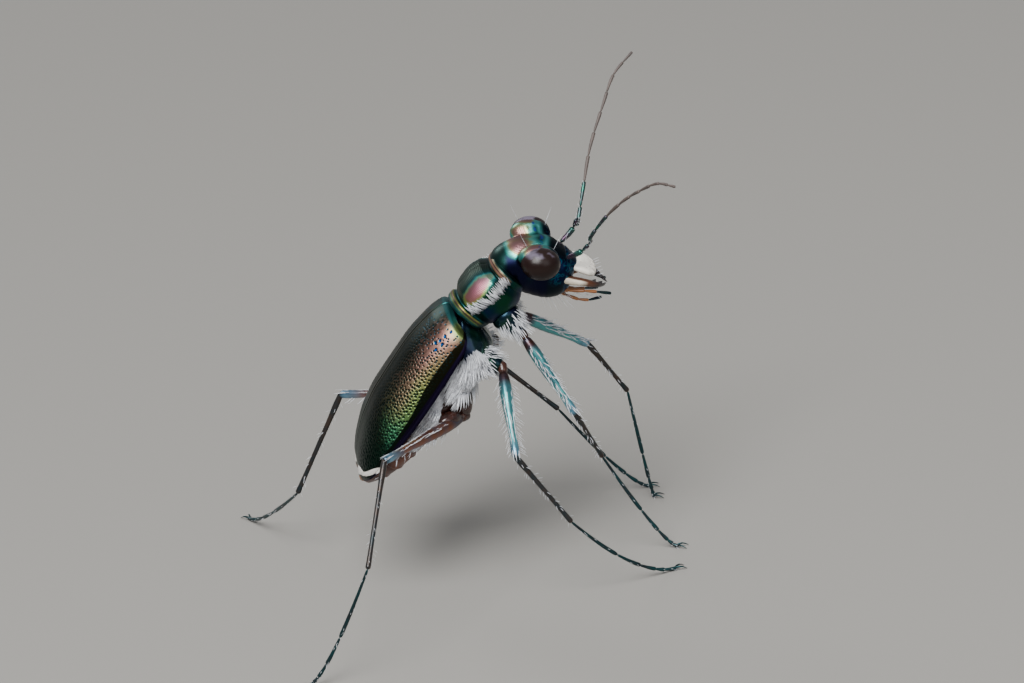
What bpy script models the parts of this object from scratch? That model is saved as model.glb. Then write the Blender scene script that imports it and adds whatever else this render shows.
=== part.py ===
"""A small tiger beetle as a still, life-size model that stands tall on its six legs.

Metres, +Z up. +X is the way the beetle faces and +Y is its left. The floor under
the feet is z = 0, and the origin is below the middle of the whole model.
"""

from math import asin, cos, pi, radians, sin

import bmesh
import bpy
import numpy as np
from mathutils import Matrix, Vector

MM = 0.001
GAP = 0.25 * MM  # the thin cut between two parts that touch
FLOOR_CUT = 20 * MM
SLIVER = 0.004 * MM

# The body: three frames hang on one another, each pitched up or down about Y.
WAIST = Vector((0.55, -0.09, 7.30)) * MM  # between prothorax and mesothorax
BODY_PITCH = radians(48)
PROTHORAX_PITCH = radians(38)
HEAD_PITCH = radians(-15)
HEAD_ROLL = radians(5)  # the left eye a little higher
HEAD_YAW = radians(2.5)
NECK = Vector((1.74, 0, 0.28)) * MM  # in the prothorax frame

# The forms of the body, as the sizes that a ruler gives.
ELYTRA_LENGTH = 5.24 * MM
ELYTRA_HALF_WIDTH = 1.62 * MM
ELYTRON_WALL = 0.42 * MM
ELYTRON_RIM = 0.16 * MM
EYE_CENTRE = Vector((0.80, 0.90, 0.24)) * MM
EYE_RADII = Vector((0.52, 0.46, 0.43)) * MM
RING = 26  # points round one section of a lofted body
STATIONS = 19  # sections along it

# The legs: femur, tibia and tarsus of each pair, and the place of its hip.
LEG_LENGTHS = {
    "fore": (2.56 * MM, 2.03 * MM, 3.16 * MM),
    "mid": (2.72 * MM, 2.33 * MM, 3.37 * MM),
    "hind": (3.56 * MM, 3.02 * MM, 3.67 * MM),
}
HIPS = {
    "fore": Vector((0.58, 0.66, -1.30)) * MM,
    "mid": Vector((-0.64, 0.92, -1.38)) * MM,
    "hind": Vector((-2.35, 0.78, -1.34)) * MM,
}
COXA_ROOTS = {
    "fore": Vector((0.62, 0.34, -0.45)) * MM,
    "mid": Vector((-0.95, 0.45, -0.70)) * MM,
    "hind": Vector((-1.75, 0.45, -0.75)) * MM,
}
# Degrees: the heading of femur, tibia and tarsus, from straight ahead towards the
# leg's own side, and the slope of femur and tibia, up from level.
STANCE = {
    "fore_right": dict(heading=(47, -59, 20), slope=(-56, -59)),
    "mid_right": dict(heading=(94, 9, -13), slope=(-37, -61), lie=0.42),
    "hind_right": dict(heading=(132, 115, 184), slope=(6, -40)),
    "fore_left": dict(heading=(25, 31, -11), slope=(-40, -61)),
    "mid_left": dict(heading=(93, -17, -2), slope=(-33, -46)),
    "hind_left": dict(heading=(148, 181, 115), slope=(-4, -58)),
}
FEMUR_RADII = (0.23 * MM, 0.28 * MM, 0.29 * MM, 0.26 * MM, 0.24 * MM, 0.24 * MM)
TIBIA_RADII = (0.24 * MM, 0.23 * MM, 0.23 * MM, 0.23 * MM, 0.25 * MM)
COXA_RADII = (0.44 * MM, 0.35 * MM, 0.26 * MM)
JOINT_RADIUS = 0.26 * MM
TARSUS_RADIUS = 0.22 * MM
TOE_RADIUS = 0.17 * MM
TOE_HEIGHT = 0.10 * MM  # of the last tarsomere's middle, so that it has a flat sole
TARSOMERES = (0.38, 0.22, 0.16, 0.10, 0.14)  # shares of the tarsus, hip end first
CLAW_LENGTH = 0.34 * MM
CLAW_SPREAD = radians(24)
CLAW_RADIUS = 0.07 * MM

# The antennae: the middle line of the left one, in the head's own frame; the right
# one mirrors it with its own droop.
ANTENNA_ROOT = Vector((1.50, 0.45, 0.24)) * MM
ANTENNA_LENGTH = 5.6 * MM
ANTENNA_RADII = (0.25 * MM, 0.22 * MM, 0.12 * MM)
ANTENNOMERES = (0.13, 0.04, 0.13, 0.10, 0.11, 0.10, 0.09, 0.09, 0.08, 0.07, 0.06)
ANTENNA_PATHS = {
    "left": [(3.25, 0.79, 8.72), (3.59, 1.42, 9.38), (4.00, 2.12, 10.22),
             (4.57, 2.81, 11.06), (5.02, 3.29, 11.66), (5.61, 3.65, 12.03)],
    "right": [(3.42, -0.85, 8.93), (3.81, -1.33, 9.60), (4.29, -1.94, 10.24),
              (4.80, -2.79, 10.85), (5.24, -3.51, 11.26), (5.61, -4.25, 11.40)],
}

COLOURS = {
    "elytra": ((0.035, 0.050, 0.030), 0.32, 0.9),
    "cuticle": ((0.020, 0.055, 0.045), 0.25, 0.9),
    "bronze": ((0.110, 0.060, 0.045), 0.30, 0.9),
    "ivory": ((0.800, 0.740, 0.620), 0.45, 0.0),
    "eye": ((0.045, 0.025, 0.022), 0.12, 0.0),
    "jaw": ((0.100, 0.035, 0.015), 0.30, 0.1),
    "abdomen": ((0.180, 0.055, 0.022), 0.35, 0.2),
    "leg": ((0.045, 0.085, 0.085), 0.30, 0.8),
    "antenna": ((0.040, 0.060, 0.050), 0.40, 0.6),
}


def clear_scene():
    for obj in list(bpy.data.objects):
        bpy.data.objects.remove(obj)


def new_collection(name):
    made = bpy.data.collections.new(name)
    bpy.context.scene.collection.children.link(made)
    return made


def material(slot):
    """The Principled material of one finish, made the first time it is asked for."""
    found = bpy.data.materials.get(slot)
    if found:
        return found
    made = bpy.data.materials.new(slot)
    made.use_nodes = True
    colour, rough, metal = COLOURS[slot]
    shader = made.node_tree.nodes["Principled BSDF"]
    shader.inputs["Base Color"].default_value = (*colour, 1)
    shader.inputs["Roughness"].default_value = rough
    shader.inputs["Metallic"].default_value = metal
    return made


def posed(origin, pitch, roll=0.0, yaw=0.0):
    """A frame at origin, rolled about its X axis, pitched up and then turned to the left."""
    turn = Matrix.Rotation(yaw, 4, "Z") @ Matrix.Rotation(-pitch, 4, "Y") @ Matrix.Rotation(roll, 4, "X")
    return Matrix.Translation(origin) @ turn


BODY = posed(WAIST, BODY_PITCH)
PROTHORAX = posed(WAIST, PROTHORAX_PITCH)
HEAD = posed(PROTHORAX @ NECK, HEAD_PITCH, HEAD_ROLL, HEAD_YAW)


def flowing(xs, values, at):
    """A cubic through the values at xs that never overshoots them, read at the places at."""
    xs, values, at = (np.asarray(a, float) for a in (xs, values, at))
    steps = np.diff(xs)
    slopes = np.diff(values) / steps
    ends = np.zeros(len(xs))
    ends[0], ends[-1] = slopes[0], slopes[-1]
    same = slopes[1:] * slopes[:-1] > 0
    mean = 2 * slopes[1:] * slopes[:-1] / np.where(same, slopes[1:] + slopes[:-1], 1)
    ends[1:-1] = np.where(same, mean, 0)
    i = np.clip(np.searchsorted(xs, at) - 1, 0, len(steps) - 1)
    t = (at - xs[i]) / steps[i]
    rise = (3 - 2 * t) * t * t
    swing = t * (1 - t) * ((1 - t) * ends[i] - t * ends[i + 1]) * steps[i]
    return values[i] * (1 - rise) + values[i + 1] * rise + swing


def object_from(name, mesh, slot, home):
    made = bpy.data.objects.new(name, mesh)
    home.objects.link(made)
    if slot:
        mesh.materials.append(material(slot))
    return made


def closed_skin(name, rings, slot, home):
    """A closed mesh over rings, an array of flat sections of equal count, with both ends filled."""
    count, around = rings.shape[:2]
    points = [tuple(p) for p in rings.reshape(-1, 3)]
    faces = []
    for i in range(count - 1):
        for j in range(around):
            k = (j + 1) % around
            a, b = i * around, (i + 1) * around
            faces.append((a + j, a + k, b + k, b + j))
    faces.append(tuple(range(around)))
    faces.append(tuple(reversed(range((count - 1) * around, count * around))))
    mesh = bpy.data.meshes.new(name)
    mesh.from_pydata(points, [], faces)
    built = bmesh.new()
    built.from_mesh(mesh)
    bmesh.ops.recalc_face_normals(built, faces=built.faces)
    built.to_mesh(mesh)
    built.free()
    mesh.shade_smooth()
    mesh.set_sharp_from_angle(angle=radians(40))
    return object_from(name, mesh, slot, home)


def body_loft(name, frame, keys, slot, home, grow=0.0, square=2.3):
    """A body lofted along X over keys of (x, half width, top, bottom, level of the widest line),
    in millimetres, each section an oval with sides a little squared. grow swells it all round."""
    keys = np.array(keys) * MM
    order = np.argsort(keys[:, 0])
    keys = keys[order]
    ease = (1 - np.cos(np.linspace(0, pi, STATIONS))) / 2
    even = np.linspace(0, 1, STATIONS)
    xs = keys[0, 0] + (keys[-1, 0] - keys[0, 0]) * (0.4 * ease + 0.6 * even)
    half, top, bottom, level = (flowing(keys[:, 0], keys[:, i], xs) for i in range(1, 5))
    xs = xs + np.linspace(-grow, grow, STATIONS)
    turn = np.linspace(0, 2 * pi, RING, endpoint=False)
    across = np.sign(np.cos(turn)) * np.abs(np.cos(turn)) ** (2 / square)
    rise = np.sign(np.sin(turn)) * np.abs(np.sin(turn)) ** (2 / square)
    reach = np.where(rise > 0, (top - level)[:, None], (level - bottom)[:, None]) + grow
    rings = np.empty((STATIONS, RING, 3))
    rings[..., 0] = xs[:, None]
    rings[..., 1] = (half[:, None] + grow) * across
    rings[..., 2] = level[:, None] + reach * rise
    return placed(closed_skin(name, rings, slot, home), frame)


def placed(obj, frame):
    obj.data.transform(frame)
    return obj


def smooth_path(points, count):
    """count points, evenly spaced, on a smooth curve through the given ones."""
    points = np.array(points, float)
    run = np.r_[0, np.cumsum(np.linalg.norm(np.diff(points, axis=0), axis=1))]
    fine = np.linspace(0, run[-1], 12 * count)
    curve = np.stack([cubic_through(run, points[:, i], fine) for i in range(3)], 1)
    length = np.r_[0, np.cumsum(np.linalg.norm(np.diff(curve, axis=0), axis=1))]
    even = np.linspace(0, length[-1], count)
    return np.stack([np.interp(even, length, curve[:, i]) for i in range(3)], 1)


def cubic_through(xs, values, at):
    """A cubic whose slope at each value is the slope between its two neighbours."""
    ends = np.gradient(values, xs)
    i = np.clip(np.searchsorted(xs, at) - 1, 0, len(xs) - 2)
    step = xs[i + 1] - xs[i]
    t = (at - xs[i]) / step
    rise = (3 - 2 * t) * t * t
    swing = t * (1 - t) * ((1 - t) * ends[i] - t * ends[i + 1]) * step
    return values[i] * (1 - rise) + values[i + 1] * rise + swing


def tube(name, points, radii, home):
    """A tapered round tube along points, as a curve with a bevel, made a closed mesh."""
    data = bpy.data.curves.new(name, "CURVE")
    data.dimensions = "3D"
    data.bevel_depth = 1.0
    data.bevel_resolution = 2
    data.use_fill_caps = True
    line = data.splines.new("POLY")
    line.points.add(len(points) - 1)
    for knot, place, radius in zip(line.points, points, radii):
        knot.co = (*place, 1)
        knot.radius = radius
    curve = bpy.data.objects.new(name, data)
    bpy.context.scene.collection.objects.link(curve)
    bpy.context.view_layer.update()
    seen = curve.evaluated_get(bpy.context.evaluated_depsgraph_get())
    mesh = bpy.data.meshes.new_from_object(seen)
    bpy.data.objects.remove(curve)
    built = bmesh.new()
    built.from_mesh(mesh)
    bmesh.ops.remove_doubles(built, verts=built.verts, dist=1e-7)
    bmesh.ops.recalc_face_normals(built, faces=built.faces)
    built.to_mesh(mesh)
    built.free()
    return object_from(name, mesh, None, home)


def ball(name, centre, radii, home, slot=None, segments=16):
    mesh = bpy.data.meshes.new(name)
    built = bmesh.new()
    bmesh.ops.create_uvsphere(built, u_segments=segments, v_segments=segments // 2 + 2, radius=1)
    built.to_mesh(mesh)
    built.free()
    mesh.transform(Matrix.Translation(centre) @ Matrix.Diagonal((*radii, 1)))
    mesh.shade_smooth()
    return object_from(name, mesh, slot, home)


def applied(obj):
    """The object with its modifiers made part of its mesh."""
    bpy.context.view_layer.update()
    seen = obj.evaluated_get(bpy.context.evaluated_depsgraph_get())
    mesh = bpy.data.meshes.new_from_object(seen)
    obj.modifiers.clear()
    obj.data = mesh
    return obj


def largest_surface(obj):
    """Keeps the largest closed surface of the mesh, without the slivers that a cut leaves."""
    built = bmesh.new()
    built.from_mesh(obj.data)
    left, shells = set(built.faces), []
    while left:
        shell, edge = set(), [left.pop()]
        while edge:
            face = edge.pop()
            shell.add(face)
            for side in face.edges:
                for other in side.link_faces:
                    if other in left:
                        left.remove(other)
                        edge.append(other)
        shells.append(shell)
    keep = max(shells, key=lambda shell: sum(face.calc_area() for face in shell))
    spare = [face for shell in shells if shell is not keep for face in shell]
    bmesh.ops.delete(built, geom=spare, context="FACES")
    bmesh.ops.triangulate(built, faces=built.faces)
    bmesh.ops.remove_doubles(built, verts=built.verts, dist=SLIVER)
    bmesh.ops.dissolve_degenerate(built, edges=built.edges, dist=SLIVER)
    built.to_mesh(obj.data)
    built.free()
    return obj


def fuse(name, pieces, slot, home):
    """One closed body from several closed pieces that overlap."""
    group = bpy.data.collections.new(name + "_pieces")
    first, rest = pieces[0], pieces[1:]
    for piece in rest:
        for owner in list(piece.users_collection):
            owner.objects.unlink(piece)
        group.objects.link(piece)
    bpy.context.scene.collection.children.link(group)
    join = first.modifiers.new("join", "BOOLEAN")
    join.operation = "UNION"
    join.operand_type = "COLLECTION"
    join.solver = "MANIFOLD"
    join.collection = group
    body = applied(first)
    for piece in rest:
        bpy.data.objects.remove(piece)
    bpy.data.collections.remove(group)
    body.name = name
    body.data.materials.clear()
    body.data.materials.append(material(slot))
    return largest_surface(body)


def cut(obj, *cutters):
    """The object with what the cutters cover taken away."""
    for cutter in cutters:
        trim = obj.modifiers.new("trim_" + cutter.name, "BOOLEAN")
        trim.operation = "DIFFERENCE"
        trim.solver = "MANIFOLD"
        trim.object = cutter
    return largest_surface(applied(obj))


def hidden(obj):
    obj.hide_render = True
    obj.display_type = "WIRE"
    return obj


def smooth(obj):
    obj.data.shade_smooth()
    obj.data.set_sharp_from_angle(angle=radians(40))
    return obj


# x, half width, top, bottom, widest level: millimetres in each body's own frame.
PTEROTHORAX_KEYS = [
    (-0.22, 0.50, 0.20, -0.52, -0.15), (-0.42, 0.82, 0.24, -0.84, -0.3),
    (-0.72, 1.04, 0.20, -1.02, -0.5), (-1.20, 1.14, 0.16, -1.12, -0.6),
    (-1.90, 1.16, 0.14, -1.14, -0.6), (-2.45, 1.10, 0.14, -1.05, -0.55),
]
ABDOMEN_KEYS = [
    (-2.72, 1.08, 0.14, -1.02, -0.55), (-3.30, 1.12, 0.14, -1.00, -0.50),
    (-4.00, 1.08, 0.08, -0.88, -0.42), (-4.60, 0.90, -0.02, -0.74, -0.34),
    (-5.10, 0.60, -0.12, -0.54, -0.28), (-5.44, 0.22, -0.18, -0.36, -0.26),
]
PROTHORAX_KEYS = [
    (-0.16, 0.56, 0.44, -0.44, 0.0), (-0.06, 0.73, 0.57, -0.55, 0.0), (0.07, 0.76, 0.58, -0.62, 0.0),
    (0.15, 0.72, 0.53, -0.66, 0.0), (0.38, 0.88, 0.65, -0.76, 0.0), (0.78, 0.96, 0.70, -0.84, 0.0),
    (1.12, 0.91, 0.62, -0.80, 0.0), (1.33, 0.76, 0.48, -0.72, 0.0), (1.44, 0.78, 0.51, -0.66, 0.0),
    (1.60, 0.72, 0.48, -0.58, 0.0),
]
HEAD_KEYS = [
    (-0.30, 0.34, 0.06, -0.40, -0.15), (-0.12, 0.48, 0.20, -0.54, -0.15),
    (0.08, 0.62, 0.40, -0.74, -0.1), (0.36, 0.71, 0.52, -0.86, -0.1),
    (0.70, 0.72, 0.56, -0.93, -0.15), (1.05, 0.67, 0.54, -0.98, -0.2),
    (1.35, 0.62, 0.42, -0.98, -0.2), (1.60, 0.54, 0.26, -0.74, -0.18), (1.76, 0.46, 0.10, -0.52, -0.15),
]
LABRUM_KEYS = [
    (1.94, 0.44, 0.10, -0.18, -0.04), (2.06, 0.56, 0.11, -0.26, -0.08), (2.22, 0.57, 0.04, -0.30, -0.14),
    (2.38, 0.48, -0.05, -0.34, -0.20), (2.46, 0.30, -0.12, -0.34, -0.24),
]


def elytron(name, side, home):
    """One wing case: a shell over its half of the back, thick along the suture and thin at the rim.
    Its outer and inner arcs are squared quarter ovals from the suture down to the rim."""
    along = [0.0, 0.10, 0.30, 0.55, 0.70, 0.84, 0.93, 1.0]  # shares of the length from the base
    xs = np.linspace(0, 1, STATIONS + 4) ** 0.9
    half = flowing(along, [0.70, 0.83, 0.90, 0.98, 1.0, 0.88, 0.67, 0.30], xs) * ELYTRA_HALF_WIDTH
    top = flowing(along, [0.62, 0.78, 0.92, 0.90, 0.78, 0.54, 0.32, 0.10], xs) * MM
    rim = flowing(along, [-0.08, -0.18, -0.20, -0.15, -0.08, -0.06, -0.05, -0.06], xs) * MM
    front = -0.14 * MM
    x = front - xs * ELYTRA_LENGTH
    turn = np.linspace(0, pi / 2, 13)
    fine = np.linspace(pi / 2, 0, 9)
    rings = np.empty((len(xs), len(turn) + len(fine), 3))
    for arc, where, thin in ((turn, slice(0, 13), 0.0), (fine, slice(13, 22), 1.0)):
        wide = np.sin(arc) ** 0.86
        tall = np.cos(arc) ** 0.86
        wall_top = np.minimum(ELYTRON_WALL, 0.62 * (top - rim)) * thin
        wall_rim = np.minimum(ELYTRON_RIM, 0.3 * half) * thin
        rings[:, where, 1] = side * (GAP / 2 + (half - wall_rim - GAP / 2)[:, None] * wide)
        rings[:, where, 2] = rim[:, None] + (top - wall_top - rim)[:, None] * tall
    rings[..., 0] = x[:, None]
    return placed(closed_skin(name, rings, "elytra", home), BODY)


def mandible(side, home):
    """A sickle jaw with two inner teeth, that crosses under the lip; the left lies higher."""
    name = "mandible_left" if side > 0 else "mandible_right"
    drop = 0.16 if side > 0 else 0.40
    xs = (1.45, 1.90, 2.30, 2.62, 2.82)
    ys = (0.42, 0.56, 0.50, 0.24, -0.08)
    zs = [-0.50 - drop * share for share in (0.0, 0.1, 0.4, 0.8, 1.0)]
    line = [(x, side * y, z) for x, y, z in zip(xs, ys, zs)]
    path = [HEAD @ (Vector(p) * MM) for p in smooth_path(line, 12)]
    radii = flowing([0, 0.3, 0.7, 1], [0.18, 0.17, 0.12, 0.04], np.linspace(0, 1, 12)) * MM
    pieces = [tube(name + "_blade", path, radii, home)]
    for at, reach in ((6, 0.30), (8, 0.24)):
        root = path[at]
        inward = HEAD.to_3x3() @ Vector((0.35, -side, 0)).normalized()
        tooth = [root, root + inward * reach * MM * 0.6, root + inward * reach * MM]
        pieces.append(tube(f"{name}_tooth_{at}", tooth, [0.10 * MM, 0.07 * MM, 0.02 * MM], home))
    return fuse(name, pieces, "jaw", home)


def palp(side, home):
    """The feeler under one jaw, of four short articles."""
    name = "palp_left" if side > 0 else "palp_right"
    line = [(1.15, 0.30, -0.80), (1.65, 0.48, -1.00), (2.15, 0.58, -1.04), (2.72, 0.46, -0.98)]
    path = smooth_path([(x, side * y, z) for x, y, z in line], 13)
    swell = 1 + 0.16 * np.cos(np.linspace(0, 8 * pi, 13))
    radii = np.linspace(0.17, 0.10, 13) * swell * MM
    places = [HEAD @ (Vector(p) * MM) for p in path]
    made = tube(name, places, radii, home)
    made.data.materials.append(material("jaw"))
    return made


def jointed_radii(shares, radii, count, waist=0.90):
    """The radius at count places along a chain of articles: it runs through radii,
    and narrows to waist at each joint between two articles."""
    at = np.linspace(0, 1, count)
    size = flowing(np.linspace(0, 1, len(radii)), radii, at)
    ends = np.cumsum(shares)[:-1] / sum(shares)
    near = np.abs(at[:, None] - ends[None, :]).min(1)
    return size * (1 - (1 - waist) * np.exp(-((near / 0.012) ** 2)))


def antenna(side, home):
    """A feeler of eleven articles, swept forwards and outwards, that tapers to its tip."""
    name = "antenna_left" if side > 0 else "antenna_right"
    points = [Vector(p) * MM + Vector((WAIST.x, WAIST.y, 0)) for p in ANTENNA_PATHS[name[8:]]]
    root = HEAD @ (ANTENNA_ROOT * Vector((1, side, 1)))
    inner = HEAD @ (ANTENNA_ROOT * Vector((0.6, 0.6 * side, 0.2)))
    path = smooth_path([inner, root] + points, 52)
    radii = jointed_radii(ANTENNOMERES, ANTENNA_RADII, 52)
    made = tube(name, path, radii, home)
    made.data.materials.append(material("antenna"))
    return made


def direction(heading, slope, side):
    """A unit vector: heading in degrees from ahead towards the leg's side, slope up from level."""
    h, s = radians(heading), radians(slope)
    return Vector((cos(s) * cos(h), side * cos(s) * sin(h), sin(s)))


def leg_joints(pair, side, stance):
    """Hip, knee, ankle and toe of one leg; the toe lies at the floor."""
    frame = PROTHORAX if pair == "fore" else BODY
    hip = frame @ (HIPS[pair] * Vector((1, side, 1)))
    femur, tibia, tarsus = LEG_LENGTHS[pair]
    knee = hip + femur * direction(stance["heading"][0], stance["slope"][0], side)
    ankle = knee + tibia * direction(stance["heading"][1], stance["slope"][1], side)
    fall = np.degrees(asin((ankle.z - TOE_HEIGHT) / tarsus))
    toe = ankle + tarsus * direction(stance["heading"][2], -fall, side)
    return hip, knee, ankle, toe


def tarsus_path(ankle, toe, lie, count):
    """A curve from ankle to toe that runs straight and then bends to lie along the floor
    for about the share lie of its reach."""
    level = Vector((toe.x - ankle.x, toe.y - ankle.y, 0))
    bend = toe - lie * level + Vector((0, 0, 0.03 * (ankle.z - toe.z)))
    t = np.linspace(0, 1, count)[:, None]
    a, b, c = (np.array(p) for p in (ankle, bend, toe))
    return (1 - t) ** 2 * a + 2 * t * (1 - t) * b + t * t * c


def claws(name, toe, heading, home):
    """Two curved hooks at the end of the foot."""
    made = []
    for turn in (-CLAW_SPREAD, CLAW_SPREAD):
        ahead = Matrix.Rotation(turn, 3, "Z") @ heading
        back = toe - 0.10 * MM * heading
        line = [back, toe + 0.5 * CLAW_LENGTH * ahead, toe + CLAW_LENGTH * ahead]
        line[2].z = CLAW_RADIUS * 0.5
        size = [CLAW_RADIUS, CLAW_RADIUS, CLAW_RADIUS * 0.25]
        made.append(tube(f"{name}_claw_{turn:.1f}", line, size, home))
    return made


def leg(pair, side_name, home, spaces):
    """One whole leg, coxa to claws, as a single closed body with a flat sole."""
    side = 1 if side_name == "left" else -1
    name = f"leg_{pair}_{side_name}"
    hip, knee, ankle, toe = leg_joints(pair, side, STANCE[f"{pair}_{side_name}"])
    frame = PROTHORAX if pair == "fore" else BODY
    root = frame @ (COXA_ROOTS[pair] * Vector((1, side, 1)))
    femur_line = [hip.lerp(knee, i / (len(FEMUR_RADII) - 1)) for i in range(len(FEMUR_RADII))]
    tibia_line = [knee.lerp(ankle, i / (len(TIBIA_RADII) - 1)) for i in range(len(TIBIA_RADII))]
    lie = STANCE[f"{pair}_{side_name}"].get("lie", 0.24)
    foot = tarsus_path(ankle, toe, lie, 34)
    foot_radii = jointed_radii(TARSOMERES, (TARSUS_RADIUS, TARSUS_RADIUS, TOE_RADIUS), 34, waist=0.86)
    heading = Vector(foot[-1] - foot[-4])
    heading.z = 0
    heading.normalize()
    pieces = [
        tube(name + "_femur", femur_line, FEMUR_RADII, home),
        tube(name + "_coxa", [root, root.lerp(hip, 0.5), hip], COXA_RADII, home),
        ball(name + "_trochanter", hip, [JOINT_RADIUS] * 3, home, segments=12),
        ball(name + "_knee", knee, [JOINT_RADIUS] * 3, home, segments=12),
        tube(name + "_tibia", tibia_line, TIBIA_RADII, home),
        tube(name + "_tarsus", foot, foot_radii, home),
        *claws(name, Vector(foot[-1]), heading, home),
    ]
    body = fuse(name, pieces, "leg", home)
    return smooth(cut(body, *spaces))


def floor_block(home):
    """The space under the floor, which gives every sole its flat."""
    mesh = bpy.data.meshes.new("floor_space")
    built = bmesh.new()
    bmesh.ops.create_cube(built, size=2 * FLOOR_CUT)
    built.to_mesh(mesh)
    built.free()
    mesh.transform(Matrix.Translation((0, 0, -FLOOR_CUT)))
    return hidden(object_from("floor_space", mesh, None, home))


def build():
    clear_scene()
    home = new_collection("tiger_beetle")
    cutters = new_collection("cutters")
    floor = floor_block(cutters)
    head_space = hidden(body_loft("head_space", HEAD, HEAD_KEYS, None, cutters, grow=GAP))
    chest_space = hidden(body_loft("chest_space", PROTHORAX, PROTHORAX_KEYS, None, cutters, grow=GAP))
    thorax_space = hidden(body_loft("thorax_space", BODY, PTEROTHORAX_KEYS, None, cutters, grow=GAP))
    abdomen_space = hidden(body_loft("abdomen_space", BODY, ABDOMEN_KEYS, None, cutters, grow=GAP))

    body_loft("pterothorax", BODY, PTEROTHORAX_KEYS, "cuticle", home)
    body_loft("abdomen", BODY, ABDOMEN_KEYS, "abdomen", home)
    prothorax = body_loft("prothorax", PROTHORAX, PROTHORAX_KEYS, "bronze", home)
    smooth(cut(prothorax, head_space, thorax_space))
    body_loft("head", HEAD, HEAD_KEYS, "cuticle", home)
    labrum = body_loft("labrum", HEAD, LABRUM_KEYS, "ivory", home, square=2.6)
    for side, word in ((1, "left"), (-1, "right")):
        wing = elytron(f"elytron_{word}", side, home)
        smooth(cut(wing, thorax_space, abdomen_space, chest_space))
        centre = HEAD @ (EYE_CENTRE * Vector((1, side, 1)))
        eye = ball(f"eye_{word}", (0, 0, 0), EYE_RADII, home, "eye", segments=28)
        eye.data.transform(Matrix.Translation(centre) @ HEAD.to_3x3().to_4x4())
        smooth(cut(eye, head_space))
        smooth(cut(antenna(side, home), head_space))
        smooth(cut(mandible(side, home), head_space))
        smooth(cut(palp(side, home), head_space))
        leg("fore", word, home, (chest_space, thorax_space, head_space, floor))
        leg("mid", word, home, (chest_space, thorax_space, floor))
        leg("hind", word, home, (thorax_space, abdomen_space, floor))
    smooth(labrum)


build()
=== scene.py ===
# %% [markdown]
# # A tiger beetle, life-size
# This script dresses the imported solids of a small tiger beetle. The beetle stands
# tall on its six thin legs with its wing cases tilted down behind, big eyes at the
# sides of a broad head, and two raised feelers. The real animal is about 9 mm long,
# so every size below is in millimetres and is turned into metres at one place.
# The cell below loads the solids as a fixed frame.

import bpy
import numpy as np
from mathutils import Matrix, Vector


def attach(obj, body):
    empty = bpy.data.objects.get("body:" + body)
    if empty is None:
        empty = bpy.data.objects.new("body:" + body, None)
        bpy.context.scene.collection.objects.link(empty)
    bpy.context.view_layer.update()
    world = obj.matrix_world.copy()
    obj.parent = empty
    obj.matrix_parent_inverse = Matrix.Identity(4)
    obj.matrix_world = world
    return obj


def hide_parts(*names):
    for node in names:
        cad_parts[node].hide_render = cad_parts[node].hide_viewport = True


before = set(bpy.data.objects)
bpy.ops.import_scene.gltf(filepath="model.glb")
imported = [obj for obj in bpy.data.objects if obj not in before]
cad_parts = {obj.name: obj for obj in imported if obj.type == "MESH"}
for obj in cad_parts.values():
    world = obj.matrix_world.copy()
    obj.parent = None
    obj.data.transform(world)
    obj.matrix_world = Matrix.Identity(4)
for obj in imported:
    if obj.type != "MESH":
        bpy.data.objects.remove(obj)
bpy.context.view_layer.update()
MM = 0.001

# %% [markdown]
# ## The camera
# A macro lens sees a beetle from about 26 cm, so the perspective is weak. Blender's
# camera could be placed by eye, but a named point, a view direction and a scale in
# pixels a millimetre are easier to check. The camera looks down by 25 degrees and is
# rolled by almost 10, because the beetle in the picture stood on a tilted surface
# and here it stands on a level floor.

# %% Camera
VIEW_RIGHT = np.array((0.9795, -0.1322, -0.1518))
VIEW_UP = np.array((0.1933, 0.4081, 0.8922))
VIEW_BACK = np.array((-0.0560, -0.9033, 0.4253))
VIEW_POINT = np.array((5.573, -0.091, -0.010))  # this point shows at the pixel below
VIEW_PIXEL = (698.16, 521.55)
VIEW_SCALE = 37.81  # pixels a millimetre
VIEW_DISTANCE = 260.0
SENSOR_WIDTH = 36
FRAME_PIXELS = (1024, 683)


def aim_camera():
    """The axis goes from the lens to the point that shows at the middle of the frame."""
    side = (FRAME_PIXELS[0] / 2 - VIEW_PIXEL[0]) / VIEW_SCALE
    rise = (VIEW_PIXEL[1] - FRAME_PIXELS[1] / 2) / VIEW_SCALE
    eye = VIEW_POINT + VIEW_DISTANCE * VIEW_BACK
    target = VIEW_POINT + side * VIEW_RIGHT + rise * VIEW_UP
    back = Vector(eye - target).normalized()
    right = Vector(VIEW_RIGHT)
    right = (right - right.dot(back) * back).normalized()
    up = back.cross(right)
    lens = bpy.data.cameras.new("macro_lens")
    lens.sensor_width = SENSOR_WIDTH
    lens.lens = SENSOR_WIDTH * VIEW_SCALE * np.linalg.norm(eye - target) / FRAME_PIXELS[0]
    lens.clip_start = 0.01
    lens.clip_end = 10
    made = bpy.data.objects.new("camera", lens)
    made.matrix_world = Matrix.Translation(Vector(eye) * MM) @ Matrix((right, up, back)).transposed().to_4x4()
    bpy.context.scene.collection.objects.link(made)
    bpy.context.scene.camera = made
    return made


camera = aim_camera()
print("focal length in mm:", round(camera.data.lens, 1))

# %% [markdown]
# ## Surfaces from numbers
# Every piece is a grid of points worked out at once by numpy. One function turns such
# a grid into faces: rows run along the piece and columns round it, and each end can be
# closed by a fan to one point. Building face by face in a Python loop would be slow.

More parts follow.
